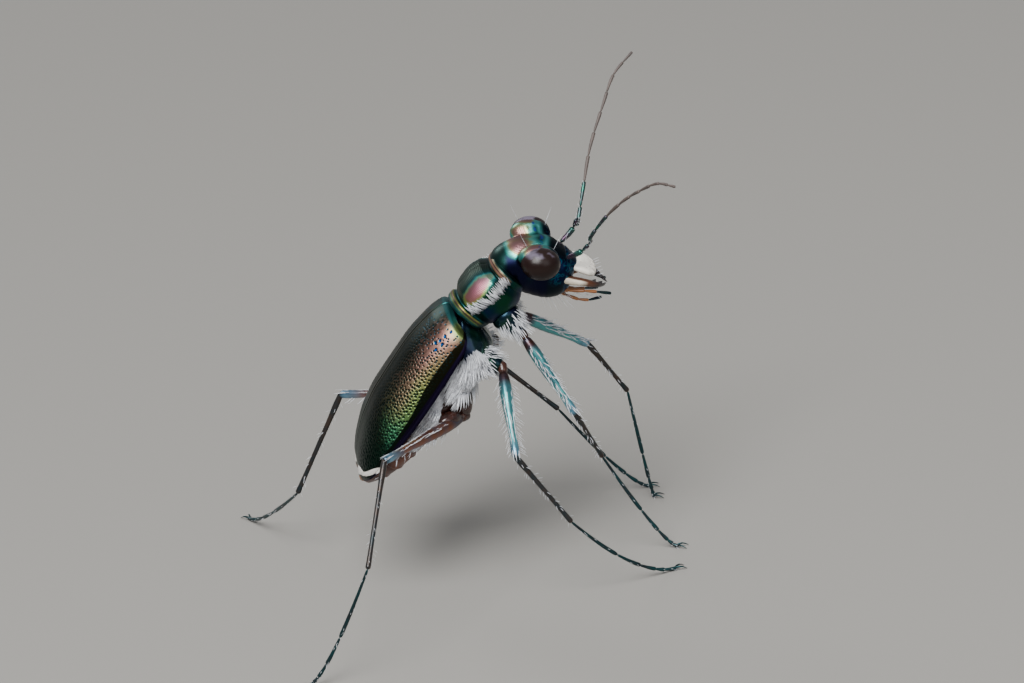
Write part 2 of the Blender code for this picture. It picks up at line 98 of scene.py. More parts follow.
# %% Grids to meshes
def grid_quads(rows, cols, wrap):
    """Corner indices and corner UVs of the faces between neighbouring grid points."""
    i, j = np.meshgrid(np.arange(rows - 1), np.arange(cols if wrap else cols - 1), indexing="ij")
    ci = np.stack([i, i, i + 1, i + 1], -1).reshape(-1, 4)
    cj = np.stack([j, j + 1, j + 1, j], -1).reshape(-1, 4)
    span = cols if wrap else cols - 1
    return ci * cols + cj % cols, np.stack([cj / span, ci / (rows - 1)], -1)


def end_fan(row, cols, centre, v, flip):
    """The triangles from one ring to the point that closes it."""
    j = np.arange(cols)
    a, b = row * cols + j, row * cols + (j + 1) % cols
    u = np.stack([j, j + 1, j + 0.5], -1) / cols
    faces = np.stack([b, a, np.full(cols, centre)] if flip else [a, b, np.full(cols, centre)], -1)
    if flip:
        u = u[:, [1, 0, 2]]
    return faces, np.stack([u, np.full((cols, 3), v)], -1)


def shell(grid, finish=0, **masks):
    """A closed skin over grid[row, column]: columns joined round, each end fanned to its mean
    point, and all faces turned over if the volume they hold has a negative sign."""
    rows, cols = grid.shape[:2]
    points = np.concatenate([grid.reshape(-1, 3), grid[:1].mean(1), grid[-1:].mean(1)])
    parts = [grid_quads(rows, cols, True)]
    parts.append(end_fan(0, cols, rows * cols, 0.0, True))
    parts.append(end_fan(rows - 1, cols, rows * cols + 1, 1.0, False))
    middle = points - points.mean(0)
    volume = 0.0
    for faces, _ in parts:
        for k in range(1, faces.shape[1] - 1):
            a, b, c = middle[faces[:, 0]], middle[faces[:, k]], middle[faces[:, k + 1]]
            volume += np.einsum("ij,ij->", a, np.cross(b, c))
    if volume < 0:
        parts = [(faces[:, ::-1], uv[:, ::-1]) for faces, uv in parts]
    full = {}
    for key, values in masks.items():
        values = np.broadcast_to(values, (rows, cols))
        full[key] = np.r_[values.ravel(), values[0].mean(), values[-1].mean()]
    return points, parts, full, finish


def mesh_object(name, shells, uv_name="surface"):
    """One mesh object from several shells, in millimetres, each with its own finish number."""
    points, index, uv, sizes, finishes, masks = [], [], [], [], [], {}
    count = 0
    for co, parts, full, finish in shells:
        for faces, corner in parts:
            index.append((faces + count).ravel())
            uv.append(corner.reshape(-1, 2))
            sizes.append(np.full(len(faces), faces.shape[1]))
            finishes.append(np.full(len(faces), finish))
        for key, values in full.items():
            masks.setdefault(key, []).append((count, values))
        points.append(co)
        count += len(co)
    index, uv, sizes = np.concatenate(index), np.concatenate(uv), np.concatenate(sizes)
    mesh = bpy.data.meshes.new(name)
    mesh.vertices.add(count)
    mesh.vertices.foreach_set("co", (np.concatenate(points) * MM).astype(np.float32).ravel())
    mesh.loops.add(len(index))
    mesh.loops.foreach_set("vertex_index", index.astype(np.int32))
    mesh.polygons.add(len(sizes))
    mesh.polygons.foreach_set("loop_start", np.r_[0, np.cumsum(sizes)[:-1]].astype(np.int32))
    mesh.polygons.foreach_set("material_index", np.concatenate(finishes).astype(np.int32))
    mesh.update(calc_edges=True)
    mesh.uv_layers.new(name=uv_name).data.foreach_set("uv", uv.astype(np.float32).ravel())
    for key, found in masks.items():
        values = np.zeros(count, np.float32)
        for begin, some in found:
            values[begin:begin + len(some)] = some
        mesh.attributes.new(key, "FLOAT", "POINT").data.foreach_set("value", values)
    mesh.shade_smooth()
    made = bpy.data.objects.new(name, mesh)
    bpy.context.scene.collection.objects.link(made)
    return made


def count_faces(what, pieces):
    """Print how many faces each piece has."""
    print(what, "faces:", [len(piece.data.polygons) for piece in pieces])


# %% [markdown]
# ## Where the body's parts are
# The wing cases and the chest under them share one frame, raised by 48 degrees. The
# prothorax hangs on it at the waist and the head hangs on the prothorax. Each frame
# is a point and a turn, so a part is drawn level and then put in place.

# %% Frames
def turn(pitch, roll=0.0, yaw=0.0):
    """The matrix that rolls about X, then raises the X axis by pitch, then turns left by yaw."""
    p, r, w = np.radians((pitch, roll, yaw))
    about_z = np.array([[np.cos(w), -np.sin(w), 0], [np.sin(w), np.cos(w), 0], [0, 0, 1]])
    about_y = np.array([[np.cos(p), 0, -np.sin(p)], [0, 1, 0], [np.sin(p), 0, np.cos(p)]])
    about_x = np.array([[1, 0, 0], [0, np.cos(r), -np.sin(r)], [0, np.sin(r), np.cos(r)]])
    return about_z @ about_y @ about_x


def put(points, place):
    """Points of a part's own frame, in the frame of the whole beetle."""
    origin, matrix = place
    return origin + np.asarray(points, float) @ matrix.T


def pointed(way, place):
    """A direction of a part's own frame, in the frame of the whole beetle."""
    return np.asarray(way, float) @ place[1].T


WORDS = {1: "left", -1: "right"}  # the sign of Y on each side
WAIST = np.array((0.55, -0.09, 7.30))
BODY = (WAIST, turn(48))
PROTHORAX = (WAIST, turn(38))
HEAD = (put((1.74, 0, 0.28), PROTHORAX), turn(-15, 5, 2.5))
print("the head hangs at", np.round(HEAD[0], 2))

# %% [markdown]
# ## Finishes
# Beetle skin gets its colour from thin layers, so it shines like metal and changes
# from green to rose over one plate. A picture could carry these colours, but
# node patterns that read the piece's own masks and coordinates stay sharp at any size.
# The helpers below keep each finish short: one adds a node, one makes a colour ramp.

# %% Finish helpers
def new_finish(name, rough, metal=0.0, coat=0.0, coat_rough=0.1, specular=0.5, sheen=0.0):
    """A material; values that are the same all over sit on its shader's own sockets."""
    made = bpy.data.materials.new(name)
    made.use_nodes = True
    for socket, value in (("Roughness", rough), ("Metallic", metal), ("Coat Weight", coat),
                          ("Coat Roughness", coat_rough), ("Specular IOR Level", specular),
                          ("Sheen Weight", sheen)):
        shader_of(made).inputs[socket].default_value = value
    return made


def shader_of(finish):
    """The node whose sockets say how light meets the surface."""
    return finish.node_tree.nodes["Principled BSDF"]


def drive(finish, socket, value):
    """Let a pattern's value or colour set one socket of the shader."""
    finish.node_tree.links.new(value, shader_of(finish).inputs[socket])


def node(finish, kind, inputs=None, **settings):
    """One shader node, with its settings and with inputs that are values or other sockets."""
    made = finish.node_tree.nodes.new("ShaderNode" + kind)
    for key, value in settings.items():
        setattr(made, key, value)
    for key, value in (inputs or {}).items():
        if isinstance(value, bpy.types.NodeSocket):
            finish.node_tree.links.new(value, made.inputs[key])
        else:
            made.inputs[key].default_value = value
    return made


def ramp(finish, value, stops):
    """The colour at a value on a band of (place, colour) stops."""
    made = node(finish, "ValToRGB", {0: value})
    band = made.color_ramp
    for i, (place, colour) in enumerate(stops):
        stop = band.elements[i] if i < 2 else band.elements.new(place)
        stop.position = place
        stop.color = (*colour, 1)
    return made.outputs[0]


def blend(finish, share, first, second):
    """Two colours mixed by a share from 0 to 1."""
    made = node(finish, "Mix", {0: share}, data_type="RGBA")
    for socket, value in ((6, first), (7, second)):
        if isinstance(value, bpy.types.NodeSocket):
            finish.node_tree.links.new(value, made.inputs[socket])
        else:
            made.inputs[socket].default_value = (*value, 1)
    return made.outputs[2]


def mask(finish, name):
    """The value that each point of the piece carries under a name."""
    return node(finish, "Attribute", attribute_name=name).outputs["Fac"]


# %% [markdown]
# Patterns give a finish its life: clouds, cells and fine relief. All are told in
# millimetres of the object's own coordinates, so that they lie on it like paint.

# %% Patterns
def spots(finish, size, detail, stretch=(1, 1, 1)):
    """Cloudy noise from 0 to 1 whose patches are about size millimetres across."""
    where = node(finish, "TexCoord").outputs["Object"]
    where = node(finish, "Mapping", {0: where, 3: stretch}).outputs[0]
    made = node(finish, "TexNoise", {"Vector": where, "Scale": 1 / (size * MM), "Detail": detail})
    return made.outputs["Fac"]


def cells(finish, size):
    """Distance to the nearest of many scattered points about size millimetres apart."""
    where = node(finish, "TexCoord").outputs["Object"]
    made = node(finish, "TexVoronoi", {"Vector": where, "Scale": 1 / (size * MM)})
    return made.outputs["Distance"]


def sums(finish, operation, *values):
    """One sum of the Math node: ADD, SUBTRACT, MULTIPLY or MAXIMUM."""
    return node(finish, "Math", dict(enumerate(values)), operation=operation).outputs[0]


def times(finish, *values):
    """The product of two values."""
    return sums(finish, "MULTIPLY", *values)


def drift(finish, size, detail, reach):
    """Cloudy noise about zero and reach wide, which makes a straight border wander."""
    return times(finish, sums(finish, "SUBTRACT", spots(finish, size, detail), 0.5), reach)


def stretched(finish, value, low, high, to_low=0.0, to_high=1.0):
    """A value between low and high, spread between to_low and to_high and held there."""
    made = node(finish, "MapRange", {0: value, 1: low, 2: high, 3: to_low, 4: to_high}, clamp=True)
    made.interpolation_type = "SMOOTHSTEP"
    return made.outputs[0]


def relief(finish, height, depth):
    """Fine relief: height from 0 to 1 stands for depth in millimetres."""
    bump = node(finish, "Bump", {"Height": height, "Distance": depth * MM, "Strength": 1.0})
    drive(finish, "Normal", bump.outputs[0])


def wear(piece, *finishes):
    """Give a piece its finishes, in the order of its shells' finish numbers."""
    for finish in finishes:
        piece.data.materials.append(finish)
    return piece


# %% [markdown]
# ## Curves that follow a table of sizes
# A beetle's outline is known at a few places along its body. A cubic through those
# sizes that never overshoots gives the outline everywhere, which a plain spline
# would bulge. A hash gives the scatter that skin and hair need, the same at each run.

# %% Profiles and scatter
def flowing(xs, values, at):
    """A cubic through the values at xs that never overshoots them."""
    xs, values, at = (np.asarray(a, float) for a in (xs, values, at))
    steps = np.diff(xs)
    slopes = np.diff(values) / steps
    ends = np.zeros(len(xs))
    ends[0], ends[-1] = slopes[0], slopes[-1]
    same = slopes[1:] * slopes[:-1] > 0
    mean = 2 * slopes[1:] * slopes[:-1] / np.where(same, slopes[1:] + slopes[:-1], 1)
    ends[1:-1] = np.where(same, mean, 0)
    i = np.clip(np.searchsorted(xs, at) - 1, 0, len(steps) - 1)
    t = (at - xs[i]) / steps[i]
    rise = (3 - 2 * t) * t * t
    swing = t * (1 - t) * ((1 - t) * ends[i] - t * ends[i + 1]) * steps[i]
    return values[i] * (1 - rise) + values[i + 1] * rise + swing


def unit(vectors):
    """The same directions with a length of 1."""
    return vectors / (np.linalg.norm(vectors, axis=-1, keepdims=True) + 1e-12)


def step(low, high, value):
    """0 below low, 1 above high, and a smooth rise between."""
    t = np.clip((value - low) / (high - low), 0, 1)
    return t * t * (3 - 2 * t)


def ridge(value, place, width):
    """A bell of height 1 round a place."""
    return np.exp(-(((value - place) / width) ** 2))


def scatter(i, j, seed):
    """A number from 0 to 1 for each pair of whole numbers, the same every time."""
    wave = np.sin(i * 127.1 + j * 311.7 + seed * 74.7) * 43758.5453
    return wave - np.floor(wave)


def pit_field(s, t, size, seed, loose=0.7):
    """Distance from each (s, t) to the nearest of points scattered on a grid of spacing size,
    every second row of it moved by half a step, as a share of size, and that point's lot."""
    x, y = s / size, t / size / 0.87
    nearest, lot = np.full(np.shape(x), 9.0), np.zeros(np.shape(x))
    row = np.floor(y)
    for down in (-1, 0, 1):
        for over in (-1, 0, 1, 2):
            b = row + down
            a = np.floor(x - 0.5 * (b % 2)) + over
            px = a + 0.5 * (b % 2) + loose * (scatter(a, b, seed) - 0.5)
            py = b + 0.5 + loose * (scatter(a, b, seed + 5) - 0.5)
            far = np.hypot(x - px, (y - py) * 0.87)
            lot = np.where(far < nearest, scatter(a, b, seed + 9), lot)
            nearest = np.minimum(nearest, far)
    return nearest, lot


# %% [markdown]
# ## The wing cases
# An elytron is a hard fore wing: a curved shell that covers half of the back. It could
# be a bent plane with thickness, but its wall is thick along the middle and thin at
# the rim, so each section is an outer and an inner arc. The net of small pits is real
# relief, because its rims catch the light, and a mask keeps where they are for colour.

# %% Shape of a wing case
CASE_LENGTH = 5.30
CASE_HALF = 1.62
CASE_ROWS, WIDE_ROW = 520, 250  # rows along a case, and one where it is wide
OUTER, INNER = 181, 10  # columns over the outside, then back along the inside
SQUARE = 0.86  # below 1 the quarter oval has fuller shoulders
PIT_SPACING = 0.097
BIG_PIT = 0.062
BIG_PITS = ((0.048, 0.62), (0.090, 0.58), (0.125, 0.56), (0.130, 0.63), (0.150, 0.52), (0.175, 0.60))


def case_section(u):
    """The bare shape at shares u of the length. Columns run from the middle line to the rim on a
    squared quarter oval, and back on a thinner one inside. Both ends are drawn in a little, and
    the base leans back towards the rim. Returns x, y, z, half width, angle, and the inside."""
    along = [0.0, 0.03, 0.10, 0.30, 0.55, 0.70, 0.84, 0.93, 1.0]
    half = flowing(along, [0.66, 0.76, 0.83, 0.90, 0.98, 1.0, 0.88, 0.69, 0.30], u) * CASE_HALF
    top = flowing(along, [0.52, 0.64, 0.78, 0.92, 0.90, 0.78, 0.54, 0.32, 0.08], u)
    rim = flowing(along, [-0.02, -0.10, -0.18, -0.20, -0.15, -0.08, -0.06, -0.05, -0.06], u)
    v = flowing([0, 0.12, 0.88, 1], [0, 0.27, 0.93, 1], np.linspace(0, 1, OUTER))
    arc = np.pi / 2 * np.r_[v, np.linspace(1, 0, INNER)][None, :]
    inside = np.r_[np.zeros(OUTER), np.ones(INNER)][None, :]
    wall_top = np.minimum(0.14, 0.5 * (top - rim)) * inside
    wall_rim = np.minimum(0.09, 0.3 * half) * inside
    seam = 0.012
    y = seam + (half - wall_rim - seam) * np.sin(arc) ** SQUARE
    z = rim + (top - wall_top - rim) * np.cos(arc) ** SQUARE
    ends = step(0.0, 0.012, u) * step(1.0, 0.992, u)
    y = np.where(inside > 0, y, y - 0.05 * (1 - ends) * np.sin(arc))
    z = np.where(inside > 0, z, z - 0.06 * (1 - ends) * np.cos(arc))
    x = -0.08 - u * CASE_LENGTH + 0.20 * (1 - np.sin(arc)) * u ** 12
    x = x - 0.22 * np.sin(arc) ** 2 * (1 - u) ** 8
    return x, y, z, half, arc, inside


# %% [markdown]
# Pits and colours share the same net of numbers: u goes along a case from 0 to 1 and v
# across it from the middle line to the rim. Each colour's border is a line over u.

# %% Pits and colours of a wing case
def case_pits(u, v, run, round_, side):
    """How deep each point lies, from 0 to 1, in a small pit and in one of the big blue ones. Run
    and round_ are the ways along and round the case in millimetres."""
    near, lot = pit_field(run, round_, PIT_SPACING, 3 if side > 0 else 8, loose=0.58)
    kept = step(0.0, 0.06, flowing([0, 0.12, 0.35, 1.0], [0.25, 0.55, 0.97, 1.0], u) - lot)
    size = 0.33 + 0.09 * step(0.1, 0.5, u) - 0.06 * lot
    pit = np.clip(1 - (near / size) ** 2, 0, 1) ** 0.8 * kept
    big = np.zeros(np.broadcast(u, v).shape)
    for place, across in BIG_PITS:
        far = np.hypot((u - place) * CASE_LENGTH, (v - across) * 2.2)
        big = np.maximum(big, np.clip(1 - (far / BIG_PIT) ** 2, 0, 1))
    return pit, big


def case_masks(u, v, run, round_, inside):
    """Where each colour lies, and where pits may be. The bronze band lies between the lines high
    and low with a ragged border, a near-black stripe of painted shade below low, where the margin
    bends down, and the violet rim below violet. The ivory mark is a wavy line round the tip, with
    brown behind it."""
    low = flowing([0, 0.05, 0.11, 0.35, 0.42, 0.53, 0.65, 0.8],
                  [0.93, 0.895, 0.835, 0.805, 0.82, 0.86, 0.865, 0.84], u)
    high = flowing([0, 0.15, 0.30, 0.44, 0.55, 0.61, 0.66, 0.72],
                   [0.43, 0.40, 0.42, 0.36, 0.41, 0.49, 0.58, 0.74], u)
    violet = flowing([0, 0.13, 0.31, 0.42, 0.49, 0.57, 1.0],
                     [0.97, 0.955, 0.935, 0.925, 0.92, 0.92, 0.95], u)
    middle = flowing([0.0, 0.20, 0.40, 0.55, 0.68, 0.77, 0.86, 0.95, 1.0],
                     [0.975, 0.970, 0.962, 0.950, 0.932, 0.910, 0.885, 0.860, 0.850],
                     np.minimum(v, 1) + 0 * u)
    rag = 0.05 * (scatter(np.floor(run / 0.058), np.floor(round_ / 0.05), 2) - 0.5)
    band = step(-0.20, 0.20, v - high + 3.0 * rag) * step(0.010, -0.010, v - low) * step(0.78, 0.62, u)
    # Painted shade: below low the margin bends down out of the light, and this mask paints it near black.
    shade_strip = step(-0.010, 0.010, v - low)
    wide = 0.024 + 0.007 * np.cos(v * 2 * np.pi / 0.45 + 0.6)
    outside = 1 - inside
    masks = {
        "along": u, "across": v, "band": band, "shade_strip": shade_strip,
        "lower": step(-0.26, -0.03, v - low + 1.5 * rag),
        "rim": step(-0.006, 0.006, v - violet) + inside,
        "ivory": step(0.003, -0.003, np.abs(u - middle) - wide) * step(0.10, 0.16, v) * outside,
        "brown": step(0.0, 0.006, u - np.maximum(middle + wide + 0.012, 0.975)) * outside,
    }
    pitted = step(0.0, 0.05, u) * step(0.02 * 2 / np.pi, 0.12 * 2 / np.pi, v) * step(0.0, -0.04, v - violet)
    return masks, pitted * outside * (1 - 0.75 * shade_strip)


# %% [markdown]
# Now the shape is pressed in by its pits. A bump in the finish would look flat at the
# outline, where real pits break the edge, so the points themselves move.

# %% Both wing cases
def wing_case(side):
    """The bare shape with a low seam along the middle line. Its outer side is sunk along the
    normals by a groove near the rim and by the pits."""
    u = flowing([0, 0.05, 0.86, 1], [0, 0.04, 0.79, 1], np.linspace(0, 1, CASE_ROWS))[:, None]
    x, y, z, half, arc, inside = case_section(u)
    v = arc / (np.pi / 2)
    run = u * CASE_LENGTH + 0 * arc
    outline = np.hypot(np.diff(y[WIDE_ROW, :OUTER]), np.diff(z[WIDE_ROW, :OUTER]))
    round_ = np.r_[0, np.cumsum(outline), np.full(INNER, outline.sum())] * half / half[WIDE_ROW]
    masks, pitted = case_masks(u, v, run, round_, inside)
    masks["pit"], masks["fovea"] = (found * pitted for found in case_pits(u, v, run, round_, side))
    grid = np.stack([x, y * side, z], -1)
    normal = unit(np.cross(np.gradient(grid, axis=0), np.gradient(grid, axis=1)))
    normal *= np.sign((normal * np.stack([0 * x, y * side, z + 1], -1)).sum(-1, keepdims=True))
    depth = 0.003 + 0.015 * flowing([0, 0.3, 0.8, 1.0], [0.4, 1.0, 0.8, 0.15], u) * step(0.05, 0.6, v)
    groove = ridge(arc, 1.50, 0.03) * step(0.02, 0.10, u) * (1 - inside)
    seam = 0.012 * ridge(arc, 0.0, 0.05) * (1 - inside)
    height = seam - depth * masks["pit"] - 0.020 * masks["fovea"] - 0.02 * groove
    skin = shell(put(grid + normal * height[..., None], BODY), **masks)
    return mesh_object(f"wing_case_{WORDS[side]}", [skin])


wing_cases = [wing_case(side) for side in WORDS]
count_faces("wing case", wing_cases)

# %% [markdown]
# The colours of a wing case come from layers that bend light, so the finish is a metal
# whose colour changes along the case and across it. Painted patches would need a
# picture; here each border is a mask of the shape above, moved about by a little noise.

# %% Finish of the wing cases
def wing_finish():
    """Nearly black bronze-green back; a side band from rose over copper and yellow to green,
    paler and greener in its lower half; below it a near-black stripe of painted shade where the
    margin bends down, and a violet rim; blue-green pits with painted shade darkening their floors;
    and an ivory mark at the tip, which is no metal."""
    made = new_finish("wing_case_skin", 0.40, metal=1.0, coat=0.03, coat_rough=0.3)
    u, v, pit, big = (mask(made, name) for name in ("along", "across", "pit", "fovea"))
    wander = sums(made, "ADD", u, drift(made, 0.7, 4, 0.22))
    side = ramp(made, wander, [
        (0.0, (0.12, 0.18, 0.08)), (0.035, (0.28, 0.19, 0.12)), (0.08, (0.34, 0.18, 0.145)),
        (0.26, (0.28, 0.15, 0.120)), (0.42, (0.21, 0.14, 0.09)), (0.56, (0.13, 0.13, 0.06)),
        (0.66, (0.05, 0.14, 0.06)), (0.74, (0.02, 0.12, 0.06)), (1.0, (0.01, 0.07, 0.05))])
    lower = ramp(made, wander, [
        (0.0, (0.14, 0.20, 0.08)), (0.10, (0.30, 0.17, 0.12)), (0.24, (0.26, 0.20, 0.09)),
        (0.38, (0.22, 0.25, 0.08)), (0.56, (0.13, 0.24, 0.08)), (0.70, (0.03, 0.18, 0.10)),
        (1.0, (0.01, 0.08, 0.07))])
    back = ramp(made, wander, [
        (0.0, (0.02, 0.10, 0.09)), (0.03, (0.010, 0.034, 0.028)), (0.12, (0.014, 0.019, 0.011)),
        (0.6, (0.018, 0.021, 0.010)), (0.75, (0.010, 0.030, 0.018)), (1.0, (0.006, 0.018, 0.016))])
    # Painted shade: the near-black colour of the bent-down margin below the band.
    shade_strip = ramp(made, u, [
        (0.0, (0.016, 0.014, 0.006)), (0.5, (0.006, 0.009, 0.005)), (1.0, (0.004, 0.012, 0.010))])
    # Pit colour, partly own tint and partly painted shade: blue-green near the base, elsewhere near black,
    # mixed in more the deeper a point lies in its pit.
    pit_tint_and_shade = ramp(made, u, [
        (0.0, (0.0, 0.05, 0.08)), (0.3, (0.006, 0.014, 0.010)), (1.0, (0.0, 0.012, 0.007))])
    tone = blend(made, mask(made, "band"), back, blend(made, mask(made, "lower"), side, lower))
    base = times(made, stretched(made, u, 0.030, 0.018), stretched(made, v, 0.75, 0.60))
    corner = times(made, stretched(made, u, 0.045, 0.030), stretched(made, v, 0.50, 0.70))
    for share, other in (
            (base, (0.03, 0.15, 0.15)), (corner, (0.18, 0.24, 0.08)), (mask(made, "shade_strip"), shade_strip),
            (stretched(made, pit, 0.02, 0.40, 0.0, 0.95), pit_tint_and_shade),
            (stretched(made, big, 0.0, 0.35), (0.02, 0.14, 0.18)),
            (stretched(made, big, 0.35, 0.7), (0.0, 0.03, 0.16)),
            (mask(made, "rim"), (0.010, 0.006, 0.022)), (mask(made, "brown"), (0.22, 0.08, 0.02)),
            (mask(made, "ivory"), (0.78, 0.75, 0.70))):
        tone = blend(made, share, tone, other)
    drive(made, "Base Color", tone)
    dull = sums(made, "MAXIMUM", mask(made, "ivory"), mask(made, "brown"))
    drive(made, "Metallic", stretched(made, dull, 0.0, 1.0, 1.0, 0.0))
    relief(made, spots(made, 0.02, 3), 0.0015)
    return made


wing_skin = wing_finish()
for piece in wing_cases:
    wear(piece, wing_skin)

# %% [markdown]
# ## Lofted bodies
# The prothorax, the chest and the abdomen are lofts: sections of known half width, top
# and underside, strung along the body. Subdividing a box by hand would also do, but a
# table of sizes can be checked against the real thing. Each section is an oval whose
# sides are a little squared, and relief such as a groove moves its points in or out.

# %% Lofting
SKINS = {}  # placed grids and their lengthwise places, for the hair


def loft(keys, rows, cols, square=2.3, ends=(0.06, 0.06)):
    """Sections over keys of (x, half width, top, underside, level of the widest line). A point at
    angle a lies at half width times cos(a) and at reach times sin(a), both to the power 2/square.
    Near each end the section shrinks as a quarter circle does. Returns grid, x and angle."""
    keys = np.array(keys)[np.argsort([k[0] for k in keys])]
    t = np.linspace(0, 1, rows)
    t = 0.5 * t + 0.5 * (1 - np.cos(np.pi * t)) / 2
    x = keys[0, 0] + (keys[-1, 0] - keys[0, 0]) * t
    half, top, low, level = (flowing(keys[:, 0], keys[:, i], x)[:, None] for i in range(1, 5))
    first = np.clip((x - x[0]) / ends[0], 0, 1)
    last = np.clip((x[-1] - x) / ends[1], 0, 1)
    dome = np.sqrt(1 - (1 - first) ** 2)[:, None] * np.sqrt(1 - (1 - last) ** 2)[:, None]
    dome = 0.35 + 0.65 * dome
    a = np.linspace(0, 2 * np.pi, cols, endpoint=False)[None, :]
    across = np.sign(np.cos(a)) * np.abs(np.cos(a)) ** (2 / square)
    rise = np.sign(np.sin(a)) * np.abs(np.sin(a)) ** (2 / square)
    reach = np.where(rise > 0, top - level, level - low)
    grid = np.stack([x[:, None] + 0 * a, half * dome * across, level + reach * dome * rise], -1)
    return grid, x[:, None], a


def normals(grid):
    """Unit normals of a grid whose columns join round, pointing away from each row's middle."""
    du = np.gradient(grid, axis=0)
    dv = np.roll(grid, -1, axis=1) - np.roll(grid, 1, axis=1)
    n = unit(np.cross(du, dv))
    out = grid - grid.mean(1, keepdims=True)
    return n * np.sign((n * out).sum(-1, keepdims=True) + 1e-12)


def raised(grid, height):
    """The grid with each point moved along its normal."""
    return grid + normals(grid) * height[..., None]


# %% [markdown]
# The prothorax is one ring: a round plate above, with a knife-thin edge along each
# side, and a collar at each end. Sculpting would reach its shape too, but a loft with
# grooves pressed in along its normals keeps the size of each groove in a number.

# %% Prothorax
PROTHORAX_KEYS = [  # x, half width, top, underside, level of the widest line
    (-0.18, 0.54, 0.42, -0.42, 0.0), (-0.14, 0.68, 0.53, -0.50, 0.0), (-0.06, 0.745, 0.585, -0.57, 0.0),
    (0.06, 0.755, 0.58, -0.62, 0.0), (0.14, 0.71, 0.52, -0.66, 0.0), (0.38, 0.88, 0.65, -0.76, 0.0),
    (0.78, 0.955, 0.69, -0.84, 0.0), (1.12, 0.90, 0.615, -0.80, 0.0), (1.32, 0.75, 0.47, -0.72, 0.0),
    (1.40, 0.775, 0.50, -0.68, 0.0), (1.50, 0.785, 0.51, -0.64, 0.0), (1.60, 0.72, 0.47, -0.58, 0.0),
]


def prothorax():
    """A loft with a groove before each collar, a fine line down the middle of the back, cross
    wrinkles, a knife-thin edge along each side, and soft waves below it. The mask patch grows
    from 0 at the middle of a rose patch to 1 at its border, and cool is 1 at its front."""
    grid, x, a = loft(PROTHORAX_KEYS, 300, 300)
    top = step(-0.05, 0.25, np.sin(a))
    disc = step(0.14, 0.26, x) * step(1.34, 1.22, x)
    height = -0.035 * ridge(x, 0.145, 0.028) - 0.040 * ridge(x, 1.33, 0.026)
    height = height * (0.35 + 0.65 * top)
    height = height - 0.010 * top * disc * ridge(a, np.pi / 2, 0.035)
    wavy = np.sin(x * 2 * np.pi / 0.045 + 3.0 * np.sin(5 * a + 2 * x) + 1.7 * np.sin(11 * a))
    height = height + 0.0022 * top * disc * wavy
    knife = 0.022 * ridge(np.sin(a), 0.10, 0.035) - 0.012 * ridge(np.sin(a), -0.02, 0.05)
    height = height + knife * disc
    height = height + 0.006 * np.sin(9 * a + 6 * x) * (1 - top)
    grid = raised(grid, height)
    phi = np.degrees(np.arcsin(np.clip(np.sin(a), -1, 1)))
    ahead, above = (x - 0.76) / 0.54, (phi - 40) / 20
    patch = np.hypot(ahead, above - 0.162 * ahead)
    cool = step(-0.6, 0.7, 0.9 * ahead + 0.5 * above)
    SKINS["prothorax"] = (put(grid, PROTHORAX), x[:, 0])
    skin = shell(SKINS["prothorax"][0], along=x, around=np.sin(a), patch=patch, cool=cool)
    return mesh_object("prothorax_shell", [skin])


prothorax_shell = prothorax()
count_faces("prothorax", [prothorax_shell])

# %% [markdown]
# Below the wing cases the chest carries four of the legs, and the belly behind it is
# a row of ring plates that overlap like tiles. Separate plates would show the same
# steps, but one loft with a rise and a drop at each seam stays closed.

# %% Chest and abdomen
PTEROTHORAX_KEYS = [
    (-0.10, 0.30, 0.10, -0.40, -0.15), (-0.20, 0.56, 0.22, -0.72, -0.2), (-0.30, 0.70, 0.23, -0.94, -0.27),
    (-0.42, 0.86, 0.24, -1.06, -0.35), (-0.72, 1.05, 0.20, -1.14, -0.5), (-1.20, 1.14, 0.16, -1.15, -0.6),
    (-1.90, 1.16, 0.14, -1.14, -0.6), (-2.50, 1.10, 0.14, -1.05, -0.55),
]
ABDOMEN_KEYS = [
    (-2.40, 1.04, 0.10, -1.00, -0.55), (-2.72, 1.09, 0.14, -1.02, -0.55), (-3.30, 1.13, 0.14, -1.00, -0.50),
    (-4.00, 1.09, 0.08, -0.88, -0.42), (-4.60, 0.91, -0.02, -0.74, -0.34), (-5.10, 0.62, -0.10, -0.54, -0.28),
    (-5.46, 0.24, -0.16, -0.36, -0.26),
]
STERNITES = (-2.95, -3.45, -3.95, -4.42, -4.85)


def chest():
    """A loft with slanting seams between its side plates and shallow wrinkles."""
    grid, x, a = loft(PTEROTHORAX_KEYS, 180, 220)
    low = step(0.25, -0.05, np.sin(a))
    lean = x + 0.45 * np.sin(a)
    height = -0.030 * low * (ridge(lean, -1.00, 0.03) + ridge(lean, -1.75, 0.03))
    height = height - 0.025 * ridge(np.sin(a), -0.35, 0.03) * step(-0.3, -0.6, x)
    grid = raised(grid, height + 0.004 * np.sin(14 * a + 9 * x))
    SKINS["chest"] = (put(grid, BODY), x[:, 0])
    return mesh_object("chest_shell", [shell(SKINS["chest"][0], along=x)])


def belly():
    """A loft whose ring plates each start low and end proud of the next one."""
    grid, x, a = loft(ABDOMEN_KEYS, 260, 220, ends=(0.1, 0.12))
    bow = x + 0.10 * np.cos(a) ** 2
    height = np.zeros(np.broadcast(x, a).shape)
    for seam in STERNITES:
        height = height + 0.030 * (ridge(bow, seam + 0.035, 0.035) - ridge(bow, seam - 0.03, 0.028))
    height = height * step(0.4, 0.0, np.sin(a)) + 0.002 * np.sin(60 * a) * np.sin(40 * x)
    grid = raised(grid, height)
    SKINS["abdomen"] = (put(grid, BODY), x[:, 0])
    return mesh_object("abdomen_shell", [shell(SKINS["abdomen"][0])])


chest_shell = chest()
abdomen_shell = belly()
count_faces("chest and belly", [chest_shell, abdomen_shell])

